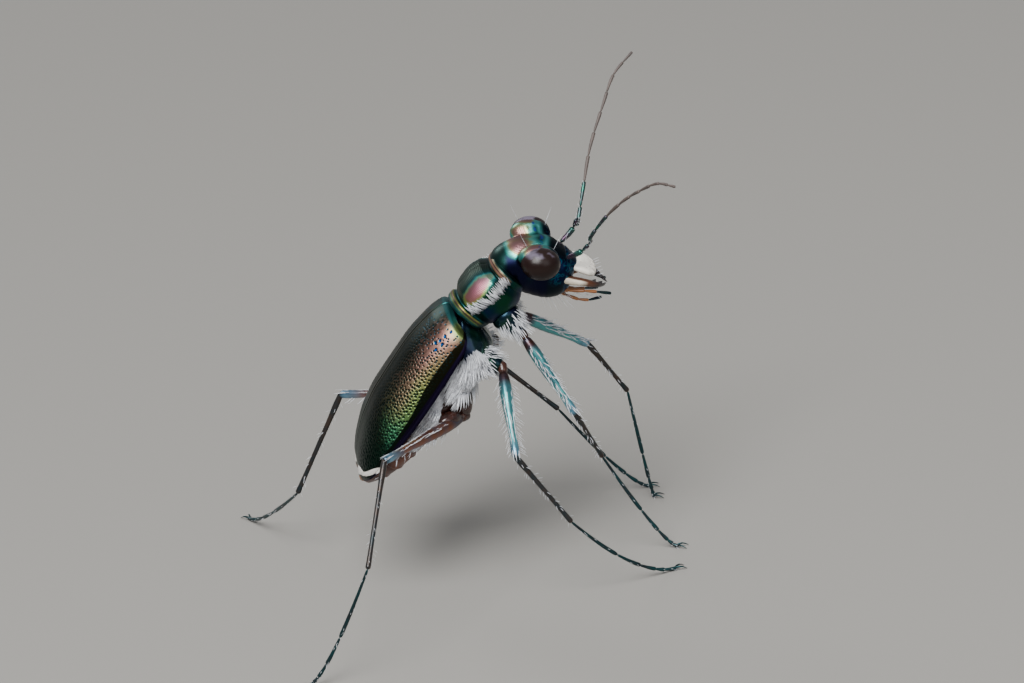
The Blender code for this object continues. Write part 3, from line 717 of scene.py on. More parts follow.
# %% [markdown]
# ## The head
# The head swells into a plate beside each eye, narrows to a neck and carries a short
# upper lip plate in front. A loft can't turn round such swellings, so the head is the
# surface where a field is zero: the field joins egg shapes and rounds each joint, and
# a ray from the middle of the head finds the surface for each direction.

# %% Field of the head
def egg(p, centre, radii):
    """About how far p is from an ellipsoid, negative inside."""
    q = (p - np.array(centre)) / np.array(radii)
    far = np.linalg.norm(q, axis=-1)
    return far * (far - 1) / (np.linalg.norm(q / np.array(radii), axis=-1) + 1e-9)


def melt(a, b, soft):
    """The nearer of two fields, rounded where both are within soft."""
    h = np.clip(0.5 + 0.5 * (b - a) / soft, 0, 1)
    return b * (1 - h) + a * h - soft * h * (1 - h)


EYE_CENTRE = np.array((0.80, 0.90, 0.24))
EYE_RADII = np.array((0.52, 0.46, 0.43))


HEAD_EGGS = (  # centre, radii, and how softly each joins the ones before it
    ((0.08, 0, -0.20), (0.44, 0.57, 0.44), 0), ((0.62, 0, -0.22), (0.92, 0.74, 0.74), 0.14),
    ((1.00, 0, -0.12), (0.60, 0.66, 0.70), 0.14), ((1.40, 0, -0.22), (0.48, 0.70, 0.56), 0.14),
    ((1.28, 0, -0.52), (0.50, 0.58, 0.44), 0.14), ((1.72, 0, -0.08), (0.22, 0.46, 0.20), 0.07),
    ((1.12, 0.24, -0.56), (0.60, 0.42, 0.45), 0.20), ((0.76, 0.72, 0.30), (0.54, 0.37, 0.38), 0.12),
)


def head_field(p):
    """About how far p is from the joined eggs; the left half stands for both."""
    q = np.stack([p[..., 0], np.abs(p[..., 1]), p[..., 2]], -1)
    field = egg(q, *HEAD_EGGS[0][:2])
    for centre, radii, soft in HEAD_EGGS[1:]:
        field = melt(field, egg(q, centre, radii), soft)
    return field


# %% [markdown]
# The rays start at a core inside the head. On each one the surface lies between a near
# point inside and a far one outside; halving that stretch again and again finds it.

# %% Skin of the head
HEAD_CORE = np.array((0.78, 0.0, -0.20))


def head():
    """Rays from the core, rows by the angle from straight ahead and columns round that line;
    halving finds where the field is zero. Fine wrinkles run lengthwise between the eyes. The
    mask patch is 0 at the middle of a rose patch, streak a narrow slanting line across the
    crown, and the mask of the painted cyan highlight a wider one in front of it."""
    rows, cols, halvings = 280, 330, 26
    polar = np.linspace(0.004, np.pi - 0.004, rows)[:, None]
    a = np.linspace(0, 2 * np.pi, cols, endpoint=False)[None, :]
    ray = np.stack([np.cos(polar) + 0 * a, np.sin(polar) * np.cos(a), np.sin(polar) * np.sin(a)], -1)
    near, far = np.full((rows, cols), 0.1), np.full((rows, cols), 1.9)
    for _ in range(halvings):
        mid = (near + far) / 2
        inside = head_field(HEAD_CORE + ray * mid[..., None]) < 0
        near, far = np.where(inside, mid, near), np.where(inside, far, mid)
    p = HEAD_CORE + ray * near[..., None]
    x, y, z = p[..., 0], p[..., 1], p[..., 2]
    crown = step(0.0, 0.35, z) * step(1.45, 1.25, x)
    lines = np.sin(y * 2 * np.pi / 0.042 + 1.5 * np.sin(7 * x) * np.sign(y))
    height = 0.0030 * lines * crown * step(0.1, 0.3, x)
    height = height - 0.030 * ridge(x, 1.60, 0.025) * step(-0.4, 0.0, z) * step(0.55, 0.40, np.abs(y))
    height = height - 0.020 * crown * ridge(np.abs(y), 0.52, 0.06) * step(0.45, 0.7, x)
    height = height + 0.004 * np.sin(34 * x + 8 * z) * step(0.0, -0.3, z) * step(1.4, 1.0, x)
    p = raised(p, height)
    nape = np.hypot((x - 0.30) / 0.36, (np.abs(y) - 0.28) / 0.46)
    orbit = np.hypot((x - 0.62) / 0.26, (np.abs(y) - 0.84) / 0.22)
    patch = np.minimum(nape, orbit) + 1.5 * step(0.42, 0.05, z)
    slant = x + 0.25 * (np.abs(y) - 0.4)
    streak = ridge(slant, 0.84, 0.04) * step(0.15, 0.3, z)
    # Painted highlight: a cyan band across the crown, in front of the streak.
    gleam = ridge(slant, 0.97, 0.075) * step(0.12, 0.3, z)
    skin = shell(put(p, HEAD), along=x, level=z, out=np.abs(y), patch=patch, streak=streak, gleam=gleam)
    return mesh_object("head_shell", [skin])


head_shell = head()
count_faces("head", [head_shell])

# %% [markdown]
# The eyes stand out past the plates beside them. Thousands of facets could be
# modelled, but each is smaller than a pixel here, so the eye is a smooth egg.

# %% Eyes
def eye(side):
    """An egg of the eye's three radii; the mask upward runs from -1 below to 1 above."""
    rows, cols = 120, 200
    t = np.linspace(0.01, np.pi - 0.01, rows)[:, None]
    a = np.linspace(0, 2 * np.pi, cols, endpoint=False)[None, :]
    ball = np.stack([np.sin(t) * np.cos(a), np.cos(t) + 0 * a, np.sin(t) * np.sin(a)], -1)
    p = (EYE_CENTRE + ball * EYE_RADII) * (1, side, 1)
    skin = shell(put(p, HEAD), upward=ball[..., 2])
    return mesh_object(f"eye_ball_{WORDS[side]}", [skin])


eyes = [eye(side) for side in WORDS]
count_faces("eye", eyes)

# %% [markdown]
# ## Lip, jaws and palps
# The upper lip is a pale domed plate with a toothed front edge. Below it two sickle
# jaws cross, each with an ivory patch at its root, and the jointed palps hang under
# them. A tube along a path is the plain way; giving each ring its own radius makes
# a joint, a tooth or a taper without more pieces.

# %% Tubes along paths
def along_path(points, count, spread=None):
    """count points on a smooth curve through the given ones; spread maps 0 to 1 onto its length."""
    points = np.array(points, float)
    run = np.r_[0, np.cumsum(np.linalg.norm(np.diff(points, axis=0), axis=1))]
    fine = np.linspace(0, run[-1], 40 * len(points))
    curve = np.stack([cubic_through(run, points[:, i], fine) for i in range(3)], 1)
    length = np.r_[0, np.cumsum(np.linalg.norm(np.diff(curve, axis=0), axis=1))]
    at = (np.linspace(0, 1, count) if spread is None else spread) * length[-1]
    return np.stack([np.interp(at, length, curve[:, i]) for i in range(3)], 1), length[-1]


def cubic_through(xs, values, at):
    """A cubic whose slope at each value is the slope between its two neighbours."""
    ends = np.gradient(values, xs)
    i = np.clip(np.searchsorted(xs, at) - 1, 0, len(xs) - 2)
    size = xs[i + 1] - xs[i]
    t = (at - xs[i]) / size
    rise = (3 - 2 * t) * t * t
    swing = t * (1 - t) * ((1 - t) * ends[i] - t * ends[i + 1]) * size
    return values[i] * (1 - rise) + values[i + 1] * rise + swing


def ends_first(count):
    """Shares of a length from 0 to 1 that crowd towards both ends, for round tips."""
    t = np.linspace(0, 1, count)
    return 0.45 * t + 0.55 * (1 - np.cos(np.pi * t)) / 2


def domed(radius, t, first, last, least=0.01):
    """The radius with round ends: over the share first at the start and last at the end it grows
    as a quarter circle does, and it is never less than the root of least of its full size."""
    tip = np.clip(np.minimum(t / first, (1 - t) / last), 0, 1)
    return radius * np.sqrt(np.clip(1 - (1 - tip) ** 2, least, 1))


UPWARD = (0.13, 0.21, 1.0)  # a little off Z, so that it never lines up with a leg


def sleeve(path, radius, cols, finish=0, up=UPWARD, flat=1.0, **masks):
    """Rings round a path, each across its direction, with its own radius and flatness."""
    path = np.asarray(path, float)
    ahead = unit(np.gradient(path, axis=0))
    side = unit(np.cross(ahead, np.array(up)))
    over = np.cross(side, ahead)
    a = np.linspace(0, 2 * np.pi, cols, endpoint=False)[None, :, None]
    ring = np.cos(a) * side[:, None] + flat * np.sin(a) * over[:, None]
    radius = np.asarray(radius, float)
    radius = radius[:, None] if radius.ndim == 1 else radius
    return shell(path[:, None] + radius[..., None] * ring, finish, **masks)


def limb(start, end, radii, rows=40, cols=20, finish=0):
    """A straight article: its radius flows through radii, with round ends."""
    start, end = np.asarray(start, float), np.asarray(end, float)
    t = ends_first(rows)
    path = start + (end - start) * t[:, None]
    radius = flowing(np.linspace(0, 1, len(radii)), radii, t)
    cap = np.minimum(radius / np.linalg.norm(end - start), 0.4)
    return sleeve(path, domed(radius, t, cap, cap, 0.0004), cols, finish, share=t[:, None])


# %% [markdown]
# The upper lip is a small plate with three blunt teeth and a few pores that carry
# long hairs. Its front edge could be cut with a Boolean, but moving the points of a
# loft in and out leaves the plate closed and smooth.

# %% Lip
LIP_KEYS = [
    (1.74, 0.40, -0.03, -0.18, -0.08), (1.82, 0.47, 0.00, -0.22, -0.09), (1.98, 0.53, 0.01, -0.27, -0.12),
    (2.16, 0.54, -0.04, -0.33, -0.17), (2.30, 0.47, -0.10, -0.37, -0.21), (2.41, 0.33, -0.16, -0.38, -0.26),
]


def lip():
    """A squared loft; its front edge is pushed in and out for three blunt teeth."""
    grid, _, a = loft(LIP_KEYS, 110, 160, square=2.6, ends=(0.05, 0.09))
    front = step(2.24, 2.39, grid[..., 0])
    grid[..., 0] += 0.035 * front * np.cos(grid[..., 1] * 2 * np.pi / 0.22)
    pores = np.zeros(grid.shape[:2])
    for ahead, out in ((2.30, 0.0), (2.28, 0.16), (2.24, 0.30), (2.14, 0.42), (2.00, 0.22)):
        far = np.hypot(grid[..., 0] - ahead, np.abs(grid[..., 1]) - out)
        pores = np.maximum(pores, ridge(far, 0, 0.016))
    pores = pores * step(-0.1, 0.0, np.sin(a))
    grid = raised(grid, -0.012 * pores)
    return mesh_object("lip_plate", [shell(put(grid, HEAD), pore=pores)])


lip_plate = lip()
count_faces("lip", [lip_plate])

# %% [markdown]
# Each jaw is a sickle with teeth on its inner side, and the two cross in front. The
# ivory patch lies on the outer face only, so the skin carries a mask that says which
# way each point of it faces.

# %% Jaws
def jaw(side):
    """A sickle blade along a curve, flattened, with three tapering teeth on its inner side. The
    mask facing is 1 on the outer face and -1 on the inner one."""
    drop = 0.28 if side > 0 else 0.38
    line = [(1.40, 0.44, 0.0), (1.72, 0.54, 0.08), (2.02, 0.56, 0.16), (2.36, 0.46, 0.42),
            (2.62, 0.22, 0.78), (2.80, -0.08, 1.0)]
    points = [put((x, side * y, -0.36 - drop * share), HEAD) for x, y, share in line]
    t = ends_first(90)
    path, _ = along_path(points, 90, t)
    radius = flowing([0, 0.12, 0.3, 0.6, 0.85, 1], [0.15, 0.165, 0.15, 0.11, 0.055, 0.012], t)
    facing = -side * np.cos(np.linspace(0, 2 * np.pi, 28, endpoint=False) - side * 0.35)
    radius = domed(radius, t, 0.05, 0.02, 0.001)
    shells = [sleeve(path, radius, 28, flat=0.72, share=t[:, None], facing=facing[None, :])]
    inward = unit(pointed((0.30, -side, -0.05), HEAD))
    bent = 0.05 * np.array((1.0, 0, -0.3))
    s = np.linspace(0, 1, 16)
    for at, reach in ((48, 0.34), (60, 0.27), (36, 0.22)):
        tooth = path[at] + reach * inward * s[:, None] + bent * (s ** 2)[:, None]
        shells.append(sleeve(tooth, 0.085 * (1 - s ** 1.5) + 0.004, 14, flat=0.8,
                             share=0.75 + 0.2 * s[:, None], facing=0 * s[:, None]))
    return mesh_object(f"jaw_{WORDS[side]}", shells)


jaws = [jaw(side) for side in WORDS]
count_faces("jaw", jaws)

# %% [markdown]
# A palp is a short chain of clubs that the beetle feels its food with. One bent cone
# would be simpler, but the dark last club is what makes it read as a palp.

# %% Palps
def palp_chain(line, side, radii):
    """Four club-shaped articles along a curve; the number 1 marks the dark last one."""
    points = [put((x, side * y, z), HEAD) for x, y, z in line]
    path, _ = along_path(points, 5, np.array([0, 0.22, 0.5, 0.72, 1.0]))
    made = []
    for i, size in enumerate(radii):
        end = path[i + 1] + 0.06 * (path[i + 1] - path[i])
        made.append(limb(path[i], end, [0.6 * size, 0.85 * size, size, 0.9 * size], 26, 16, int(i == 3)))
    return made


def palp(side):
    """The outer palp that the solids carry, and the shorter pair below it."""
    outer = [(1.40, 0.34, -0.70), (1.75, 0.46, -0.74), (2.20, 0.58, -0.66), (2.46, 0.54, -0.70),
             (2.84, 0.44, -0.78)]
    lower = [(1.45, 0.16, -0.86), (1.85, 0.26, -1.02), (2.20, 0.34, -1.06), (2.64, 0.28, -0.98)]
    shells = palp_chain(outer, side, (0.056, 0.050, 0.046, 0.045))
    shells += palp_chain(lower, side, (0.050, 0.046, 0.042, 0.042))
    return mesh_object(f"palps_{WORDS[side]}", shells)


palps = [palp(side) for side in WORDS]
count_faces("palp", palps)

# %% [markdown]
# ## Feelers
# Each feeler has eleven articles: a thick club at the root, a short bead, then long
# slim ones that thin towards the tip. One bent cone would lose the joints, so each
# article is its own closed shell, a little wider at its far end.

# %% Feelers
ARTICLES = (0.085, 0.040, 0.150, 0.110, 0.115, 0.105, 0.095, 0.090, 0.080, 0.070, 0.060)
FEELER_ROOT = np.array((1.54, 0.46, 0.20))
FEELER_BENDS = {
    1: [(1.85, 0.60, 0.56), (1.92, 0.60, 0.86)],
    -1: [(1.93, -0.60, 0.53), (2.10, -0.67, 0.84)],
}
FEELER_PATHS = {  # over the spot where the waist's X and Y are zero
    1: [(3.25, 0.79, 8.72), (3.59, 1.42, 9.38), (4.00, 2.12, 10.22), (4.57, 2.81, 11.06),
        (5.02, 3.29, 11.66), (5.61, 3.65, 12.03)],
    -1: [(3.42, -0.85, 8.93), (3.81, -1.33, 9.60), (4.29, -1.94, 10.24), (4.80, -2.79, 10.85),
         (5.24, -3.51, 11.26), (5.61, -4.25, 11.40)],
}
FEELER_RADII = (0.080, 0.056, 0.054, 0.052, 0.047, 0.045, 0.044, 0.043, 0.042, 0.040, 0.036)


def feeler_line(side):
    """The points that a feeler passes: its root and bend on the head, then the free part."""
    points = [put(p, HEAD) for p in [FEELER_ROOT * (1, side, 1), *FEELER_BENDS[side]]]
    return points + [np.array(p) + (WAIST[0], WAIST[1], 0) for p in FEELER_PATHS[side]]


def feeler(side):
    """Articles strung on one smooth curve; metal colours on the first four, dull on the rest."""
    ends = np.r_[0, np.cumsum(ARTICLES)] / sum(ARTICLES)
    t = ends_first(26)
    shells = []
    for i, size in enumerate(FEELER_RADII):
        share = ends[i + 1] - ends[i]
        path, length = along_path(feeler_line(side), 26, ends[i] + share * t)
        radius = size * flowing([0, 0.25, 0.8, 0.95, 1], [0.55, 0.78, 1.0, 1.0, 0.8], t)
        cap = 0.8 * size / (length * share)
        shells.append(sleeve(path, domed(radius, t, cap, cap), 16, int(i > 3), (0.1, 1.0, -0.4)))
    return mesh_object(f"feeler_{WORDS[side]}", shells)


feelers = [feeler(side) for side in WORDS]
count_faces("feeler", feelers)

# %% [markdown]
# ## Legs
# A leg runs from the coxa over a small trochanter, a long femur and a thin tibia to
# five foot joints and two claws. Each pair has its own lengths, and each leg its own
# stance: where femur, tibia and foot head and how steeply they slope. The foot's slope
# follows from the floor, so that every foot ends on it.

# %% Leg joints
LEG_LENGTHS = {"fore": (2.56, 2.03, 3.16), "mid": (2.72, 2.33, 3.37), "hind": (3.56, 3.02, 3.67)}
HIPS = {"fore": (0.58, 0.66, -1.30), "mid": (-0.64, 0.92, -1.38), "hind": (-2.35, 0.78, -1.34)}
COXA_ROOTS = {"fore": (0.62, 0.34, -0.45), "mid": (-0.95, 0.45, -0.70), "hind": (-1.75, 0.45, -0.75)}
COXA_RADII = (0.42, 0.40, 0.27, 0.17)
FEMUR_RADII = (0.10, 0.15, 0.165, 0.16, 0.145, 0.125, 0.105, 0.10, 0.115, 0.10)
TIBIA_RADII = (0.07, 0.085, 0.070, 0.065, 0.062, 0.060, 0.060, 0.065, 0.075)
FOOT_RADIUS = 0.054
STANCE = {  # headings of femur, tibia and foot and slopes of femur and tibia in degrees; the foot's lie
    "fore_right": (47, -59, 20, -56, -59, 0.24), "mid_right": (94, 9, -13, -37, -61, 0.42),
    "hind_right": (132, 115, 184, 6, -40, 0.24), "fore_left": (25, 31, -11, -40, -61, 0.24),
    "mid_left": (93, -17, -2, -33, -46, 0.24), "hind_left": (148, 181, 115, -4, -58, 0.24),
}
TOE_HEIGHT = 0.06
FOOT_JOINTS = (0.38, 0.22, 0.16, 0.10, 0.14)


def heading(level, slope, side):
    """The unit vector that heads level degrees from ahead to the leg's side and slope degrees up."""
    h, s = np.radians((level, slope))
    return np.array((np.cos(s) * np.cos(h), side * np.cos(s) * np.sin(h), np.sin(s)))


def leg_joints(pair, word):
    """Coxa root, hip, knee, ankle and toe of a leg."""
    side = 1 if word == "left" else -1
    place = PROTHORAX if pair == "fore" else BODY
    root = put(np.array(COXA_ROOTS[pair]) * (1, side, 1), place)
    hip = put(np.array(HIPS[pair]) * (1, side, 1), place)
    one, two, three, rise, fall, _ = STANCE[f"{pair}_{word}"]
    femur, tibia, foot = LEG_LENGTHS[pair]
    knee = hip + femur * heading(one, rise, side)
    ankle = knee + tibia * heading(two, fall, side)
    drop = np.degrees(np.arcsin((ankle[2] - TOE_HEIGHT) / foot))
    return root, hip, knee, ankle, ankle + foot * heading(three, -drop, side)


def foot_curve(ankle, toe, lie, t):
    """A curve from ankle to toe that bends to lie along the floor for the share lie of its reach."""
    level = np.array((toe[0] - ankle[0], toe[1] - ankle[1], 0))
    bend = toe - lie * level + np.array((0, 0, 0.03 * (ankle[2] - toe[2])))
    t = np.asarray(t)[:, None]
    return (1 - t) ** 2 * ankle + 2 * t * (1 - t) * bend + t * t * toe


# %% [markdown]
# With its joints known, a leg is a row of closed articles that overlap a little, as the
# real ones sit in each other's sockets.

# %% Legs
def leg(pair, word):
    """Coxa 0, trochanter 1, femur 2, tibia 3, foot 4 and claws 4: the numbers are finishes. A
    hind leg also has the thick lobe above its trochanter, with the finish of its coxa."""
    root, hip, knee, ankle, toe = leg_joints(pair, word)
    ahead, shin = unit(knee - hip), unit(ankle - knee)
    shells = [
        limb(root, hip + 0.04 * (hip - root), COXA_RADII, 50, 36, 0),
        limb(hip - 0.16 * ahead, hip + 0.24 * ahead, (0.10, 0.13, 0.125, 0.10), 30, 24, 1),
        limb(hip + 0.14 * ahead, knee + 0.03 * ahead, FEMUR_RADII, 110, 30, 2),
        limb(knee - 0.05 * shin, ankle + 0.02 * shin, TIBIA_RADII, 110, 20, 3),
    ]
    if pair == "hind":
        lift = pointed((0, 0, 1), BODY)
        shells.append(limb(hip + 0.08 * ahead + 0.10 * lift, hip + 0.85 * ahead + 0.16 * lift,
                           (0.10, 0.19, 0.22, 0.18, 0.10), 30, 24, 0))
    ends = np.r_[0, np.cumsum(FOOT_JOINTS)]
    t = ends_first(26)
    radius = domed(FOOT_RADIUS * flowing([0, 0.3, 0.85, 1], [0.62, 0.76, 1.0, 0.9], t), t, 0.06, 0.06)
    for first, last in zip(ends[:-1], ends[1:]):
        path = foot_curve(ankle, toe, STANCE[f"{pair}_{word}"][5], first + (last - first) * t)
        shells.append(sleeve(path, radius, 16, 4))
    return mesh_object(f"whole_leg_{pair}_{word}", shells + claws(path))


def claws(path):
    """Two thin hooks from the end of a foot, spread to both sides and bent down at the tip."""
    end = (path[-1] - path[-6]) * (1, 1, 0)
    end = end / np.hypot(end[0], end[1])
    across = np.array((-end[1], end[0], 0))
    s = np.linspace(0, 1, 22)[:, None]
    made = []
    for way in (-1, 1):
        hook = path[-1] - 0.03 * end + end * 0.30 * s + way * across * (0.12 * s ** 0.7)
        hook[:, 2] += (0.05 * np.sin(np.pi * s ** 0.8) - 0.035 * s ** 2)[:, 0]
        made.append(sleeve(hook, 0.028 * (1 - s[:, 0]) ** 0.7 + 0.003, 10, 4))
    return made


legs = {f"{pair}_{word}": leg(pair, word) for pair in LEG_LENGTHS for word in WORDS.values()}
count_faces("leg", legs.values())


# %% [markdown]
# ## Finishes of the body
# Each metal plate has its own play of colours. They could come from one shader for
# all, but a ramp over a mask of each piece is easier to read and to change: the mask
# says how far a point is from the middle of a patch, and the ramp gives its rings.

# %% Prothorax and head
def pronotum_skin():
    """Dark green crest; a rose patch on each side with a gold edge, and a teal one in front;
    gold collar stripes; and deep green that turns blue and violet below."""
    made = new_finish("prothorax_skin", 0.40, metal=1.0, coat=0.04, coat_rough=0.2)
    x, up = mask(made, "along"), mask(made, "around")
    ring = sums(made, "ADD", mask(made, "patch"), drift(made, 0.4, 3, 0.35))
    ring = stretched(made, sums(made, "ADD", ring, drift(made, 0.10, 2, 0.30)), 0.0, 2.0)
    warm = ramp(made, ring, [
        (0.0, (0.27, 0.10, 0.135)), (0.30, (0.29, 0.13, 0.11)), (0.40, (0.30, 0.27, 0.09)),
        (0.48, (0.24, 0.34, 0.10)), (0.56, (0.05, 0.14, 0.06)), (0.66, (0.012, 0.05, 0.03)),
        (1.0, (0.012, 0.032, 0.020))])
    cool = ramp(made, ring, [
        (0.0, (0.27, 0.10, 0.135)), (0.28, (0.25, 0.14, 0.16)), (0.38, (0.20, 0.34, 0.22)),
        (0.47, (0.07, 0.36, 0.32)), (0.56, (0.02, 0.18, 0.20)), (0.66, (0.010, 0.06, 0.06)),
        (1.0, (0.012, 0.032, 0.020))])
    low = ramp(made, spots(made, 0.7, 2), [
        (0.35, (0.004, 0.045, 0.022)), (0.52, (0.004, 0.020, 0.050)), (0.68, (0.016, 0.008, 0.060))])
    collar = ramp(made, stretched(made, x, -0.18, 0.22), [
        (0.0, (0.02, 0.08, 0.08)), (0.30, (0.02, 0.10, 0.09)), (0.42, (0.16, 0.20, 0.06)),
        (0.50, (0.03, 0.07, 0.04)), (0.64, (0.14, 0.07, 0.05)), (0.74, (0.30, 0.34, 0.08)),
        (0.82, (0.01, 0.10, 0.10)), (1.0, (0.01, 0.04, 0.03))])
    front = ramp(made, stretched(made, x, 1.28, 1.60), [
        (0.0, (0.01, 0.03, 0.03)), (0.16, (0.015, 0.05, 0.03)), (0.30, (0.44, 0.26, 0.14)),
        (0.46, (0.42, 0.20, 0.17)), (0.58, (0.05, 0.03, 0.02)), (0.70, (0.46, 0.34, 0.20)),
        (0.84, (0.02, 0.05, 0.04)), (1.0, (0.02, 0.08, 0.07))])
    tone = blend(made, mask(made, "cool"), warm, cool)
    tone = blend(made, stretched(made, up, 0.10, -0.05), tone, low)
    collar = blend(made, stretched(made, up, -0.25, -0.60), collar, (0.006, 0.035, 0.040))
    tone = blend(made, stretched(made, x, 0.22, 0.18), tone, collar)
    gold = times(made, stretched(made, x, 1.26, 1.30), stretched(made, up, -0.15, 0.05))
    drive(made, "Base Color", blend(made, gold, tone, front))
    relief(made, spots(made, 0.035, 3), 0.0022)
    return made


def head_skin():
    """Rose patches with gold and teal rings on the crown and beside each eye; in front of them a
    broken blue streak, black, and a painted cyan highlight; a dark nape; and blue-black cheeks and plate."""
    made = new_finish("head_skin", 0.37, metal=1.0, coat=0.04, coat_rough=0.2)
    x, z, out = mask(made, "along"), mask(made, "level"), mask(made, "out")
    ring = sums(made, "ADD", mask(made, "patch"), drift(made, 0.25, 3, 0.7))
    tone = ramp(made, stretched(made, ring, 0.0, 2.4), [
        (0.0, (0.31, 0.16, 0.17)), (0.22, (0.33, 0.20, 0.14)), (0.34, (0.28, 0.36, 0.18)),
        (0.44, (0.16, 0.50, 0.40)), (0.58, (0.07, 0.36, 0.32)), (0.78, (0.015, 0.10, 0.085)),
        (0.92, (0.006, 0.012, 0.026)), (1.0, (0.005, 0.006, 0.024))])
    front = ramp(made, spots(made, 0.12, 3), [
        (0.48, (0.004, 0.010, 0.040)), (0.55, (0.010, 0.11, 0.17)), (0.60, (0.005, 0.016, 0.07))])
    streak = times(made, mask(made, "streak"), stretched(made, spots(made, 0.14, 3), 0.40, 0.60))
    cheek = times(made, stretched(made, x, 1.05, 1.30), stretched(made, out, 0.40, 0.55))
    # The cyan band on the crown, blended in after the black, is a painted highlight.
    for share, other in (
            (streak, (0.03, 0.07, 0.42)), (stretched(made, x, 1.00, 1.18), (0.006, 0.012, 0.018)),
            (mask(made, "gleam"), (0.10, 0.44, 0.40)),
            (stretched(made, x, 0.04, -0.14), (0.012, 0.045, 0.038)),
            (stretched(made, x, 1.50, 1.60), front),
            (times(made, cheek, stretched(made, z, -0.55, -0.30)), front)):
        tone = blend(made, share, tone, other)
    drive(made, "Base Color", tone)
    relief(made, spots(made, 0.035, 3), 0.0022)
    return made


# %% [markdown]
# Eyes, lip and jaws are no metal. The eye is dark brown with a lilac reflection of the sky
# painted on its upper half, and its facets are a relief of scattered cells. Lip and jaw are
# horn with ivory on it.

# %% Eyes, lip and jaws
def eye_skin():
    """Dark brown, with a faint lilac reflection of the sky painted on its upper half; the facets are a fine
    relief.
    """
    made = new_finish("eye_skin", 0.30, specular=0.30)
    cloud = stretched(made, spots(made, 0.42, 2), 0.40, 0.56, 0.30, 1.0)
    # Painted reflection: lilac patches on the upper half, where the eye mirrors the sky.
    painted_sky_reflection = times(made, stretched(made, mask(made, "upward"), 0.25, 0.80), cloud)
    drive(made, "Base Color", ramp(made, painted_sky_reflection, [
        (0.0, (0.010, 0.0035, 0.0025)), (0.35, (0.016, 0.008, 0.007)), (1.0, (0.13, 0.11, 0.15))]))
    relief(made, cells(made, 0.02), 0.0008)
    return made


def ivory_skin():
    """Ivory with dark pores."""
    made = new_finish("ivory_skin", 0.42)
    tone = ramp(made, mask(made, "pore"), [(0.2, (0.88, 0.83, 0.74)), (0.9, (0.10, 0.07, 0.05))])
    drive(made, "Base Color", tone)
    relief(made, spots(made, 0.03, 3), 0.002)
    return made


def jaw_skin():
    """Ivory on the outer face from the root to a third of the length, red-brown round it, and
    nearly black towards tip and teeth."""
    made = new_finish("jaw_skin", 0.22, specular=0.6)
    share = mask(made, "share")
    outer = ramp(made, share, [
        (0.0, (0.10, 0.03, 0.01)), (0.10, (0.75, 0.66, 0.50)), (0.33, (0.78, 0.70, 0.56)),
        (0.44, (0.10, 0.030, 0.010)), (0.66, (0.012, 0.008, 0.008))])
    rest = ramp(made, share, [
        (0.0, (0.05, 0.016, 0.006)), (0.45, (0.07, 0.022, 0.008)), (0.7, (0.012, 0.008, 0.008))])
    face = sums(made, "SUBTRACT", mask(made, "facing"), times(made, share, 0.9))
    drive(made, "Base Color", blend(made, stretched(made, face, 0.24, 0.52), rest, outer))
    relief(made, spots(made, 0.03, 2), 0.001)
    return made


# %% [markdown]
# The smaller parts have plain horn: brown near the body, and dark blue-green metal on
# femora and feet. Two colours in soft patches are enough for them, so one function
# makes most of their finishes.

# %% Chest, belly, legs, feelers and palps
def plain_skin(name, first, second, size, rough, metal=0.0, coat=0.0):
    """Two colours in soft patches with a fine relief."""
    made = new_finish(name, rough, metal=metal, coat=coat, coat_rough=0.15)
    drive(made, "Base Color", ramp(made, spots(made, size, 3), [(0.35, first), (0.65, second)]))
    relief(made, spots(made, 0.02, 3), 0.0015)
    return made


def chest_finish():
    """Dark green and blue in front; the hind coxa's plate at the rear is a glossy dark brown."""
    made = new_finish("chest_skin", 0.25, coat=0.3, coat_rough=0.15)
    front = stretched(made, mask(made, "along"), -1.80, -1.68)
    green = ramp(made, spots(made, 0.5, 3), [(0.35, (0.008, 0.05, 0.03)), (0.65, (0.01, 0.012, 0.06))])
    brown = ramp(made, spots(made, 0.3, 3), [(0.35, (0.045, 0.014, 0.009)), (0.65, (0.014, 0.006, 0.005))])
    drive(made, "Base Color", blend(made, front, brown, green))
    drive(made, "Metallic", stretched(made, front, 0.0, 1.0, 0.0, 0.9))
    relief(made, spots(made, 0.02, 3), 0.0015)
    return made


def femur_skin(name, middle):
    """Red-brown at the root, two middle colours, pale blue before the knee and dark at it."""
    made = new_finish(name, 0.28, metal=0.85, coat=0.3, coat_rough=0.15)
    tone = ramp(made, mask(made, "share"), [
        (0.0, (0.06, 0.018, 0.010)), (0.12, (0.07, 0.024, 0.018)), (0.2, middle[0]),
        (0.75, middle[1]), (0.95, (0.16, 0.36, 0.50)), (1.0, (0.03, 0.02, 0.02))])
    patch = spots(made, 0.25, 3, stretch=(1, 1, 0.5))
    tone = blend(made, stretched(made, patch, 0.4, 0.7, 0.0, 0.5), tone, (0.06, 0.10, 0.16))
    drive(made, "Base Color", tone)
    relief(made, spots(made, 0.02, 3), 0.002)
    return made


hind_skin = plain_skin("hind_coxa_skin", (0.040, 0.012, 0.008), (0.016, 0.007, 0.006), 0.3, 0.25, coat=0.5)
brown_skin = plain_skin("trochanter_skin", (0.055, 0.017, 0.009), (0.028, 0.010, 0.007), 0.2, 0.25, coat=0.4)
dark_skin = plain_skin("coxa_skin", (0.01, 0.05, 0.03), (0.008, 0.015, 0.05), 0.4, 0.25, metal=0.85)
belly_skin = plain_skin("belly_skin", (0.13, 0.035, 0.015), (0.05, 0.015, 0.012), 0.4, 0.3, coat=0.3)
shin_skin = plain_skin("tibia_skin", (0.050, 0.035, 0.028), (0.02, 0.03, 0.035), 0.3, 0.3, metal=0.6)
foot_skin = plain_skin("foot_skin", (0.008, 0.05, 0.055), (0.02, 0.03, 0.035), 0.3, 0.3, metal=0.7)
feeler_metal = plain_skin("feeler_metal", (0.02, 0.12, 0.09), (0.06, 0.035, 0.06), 0.35, 0.3, metal=0.85)
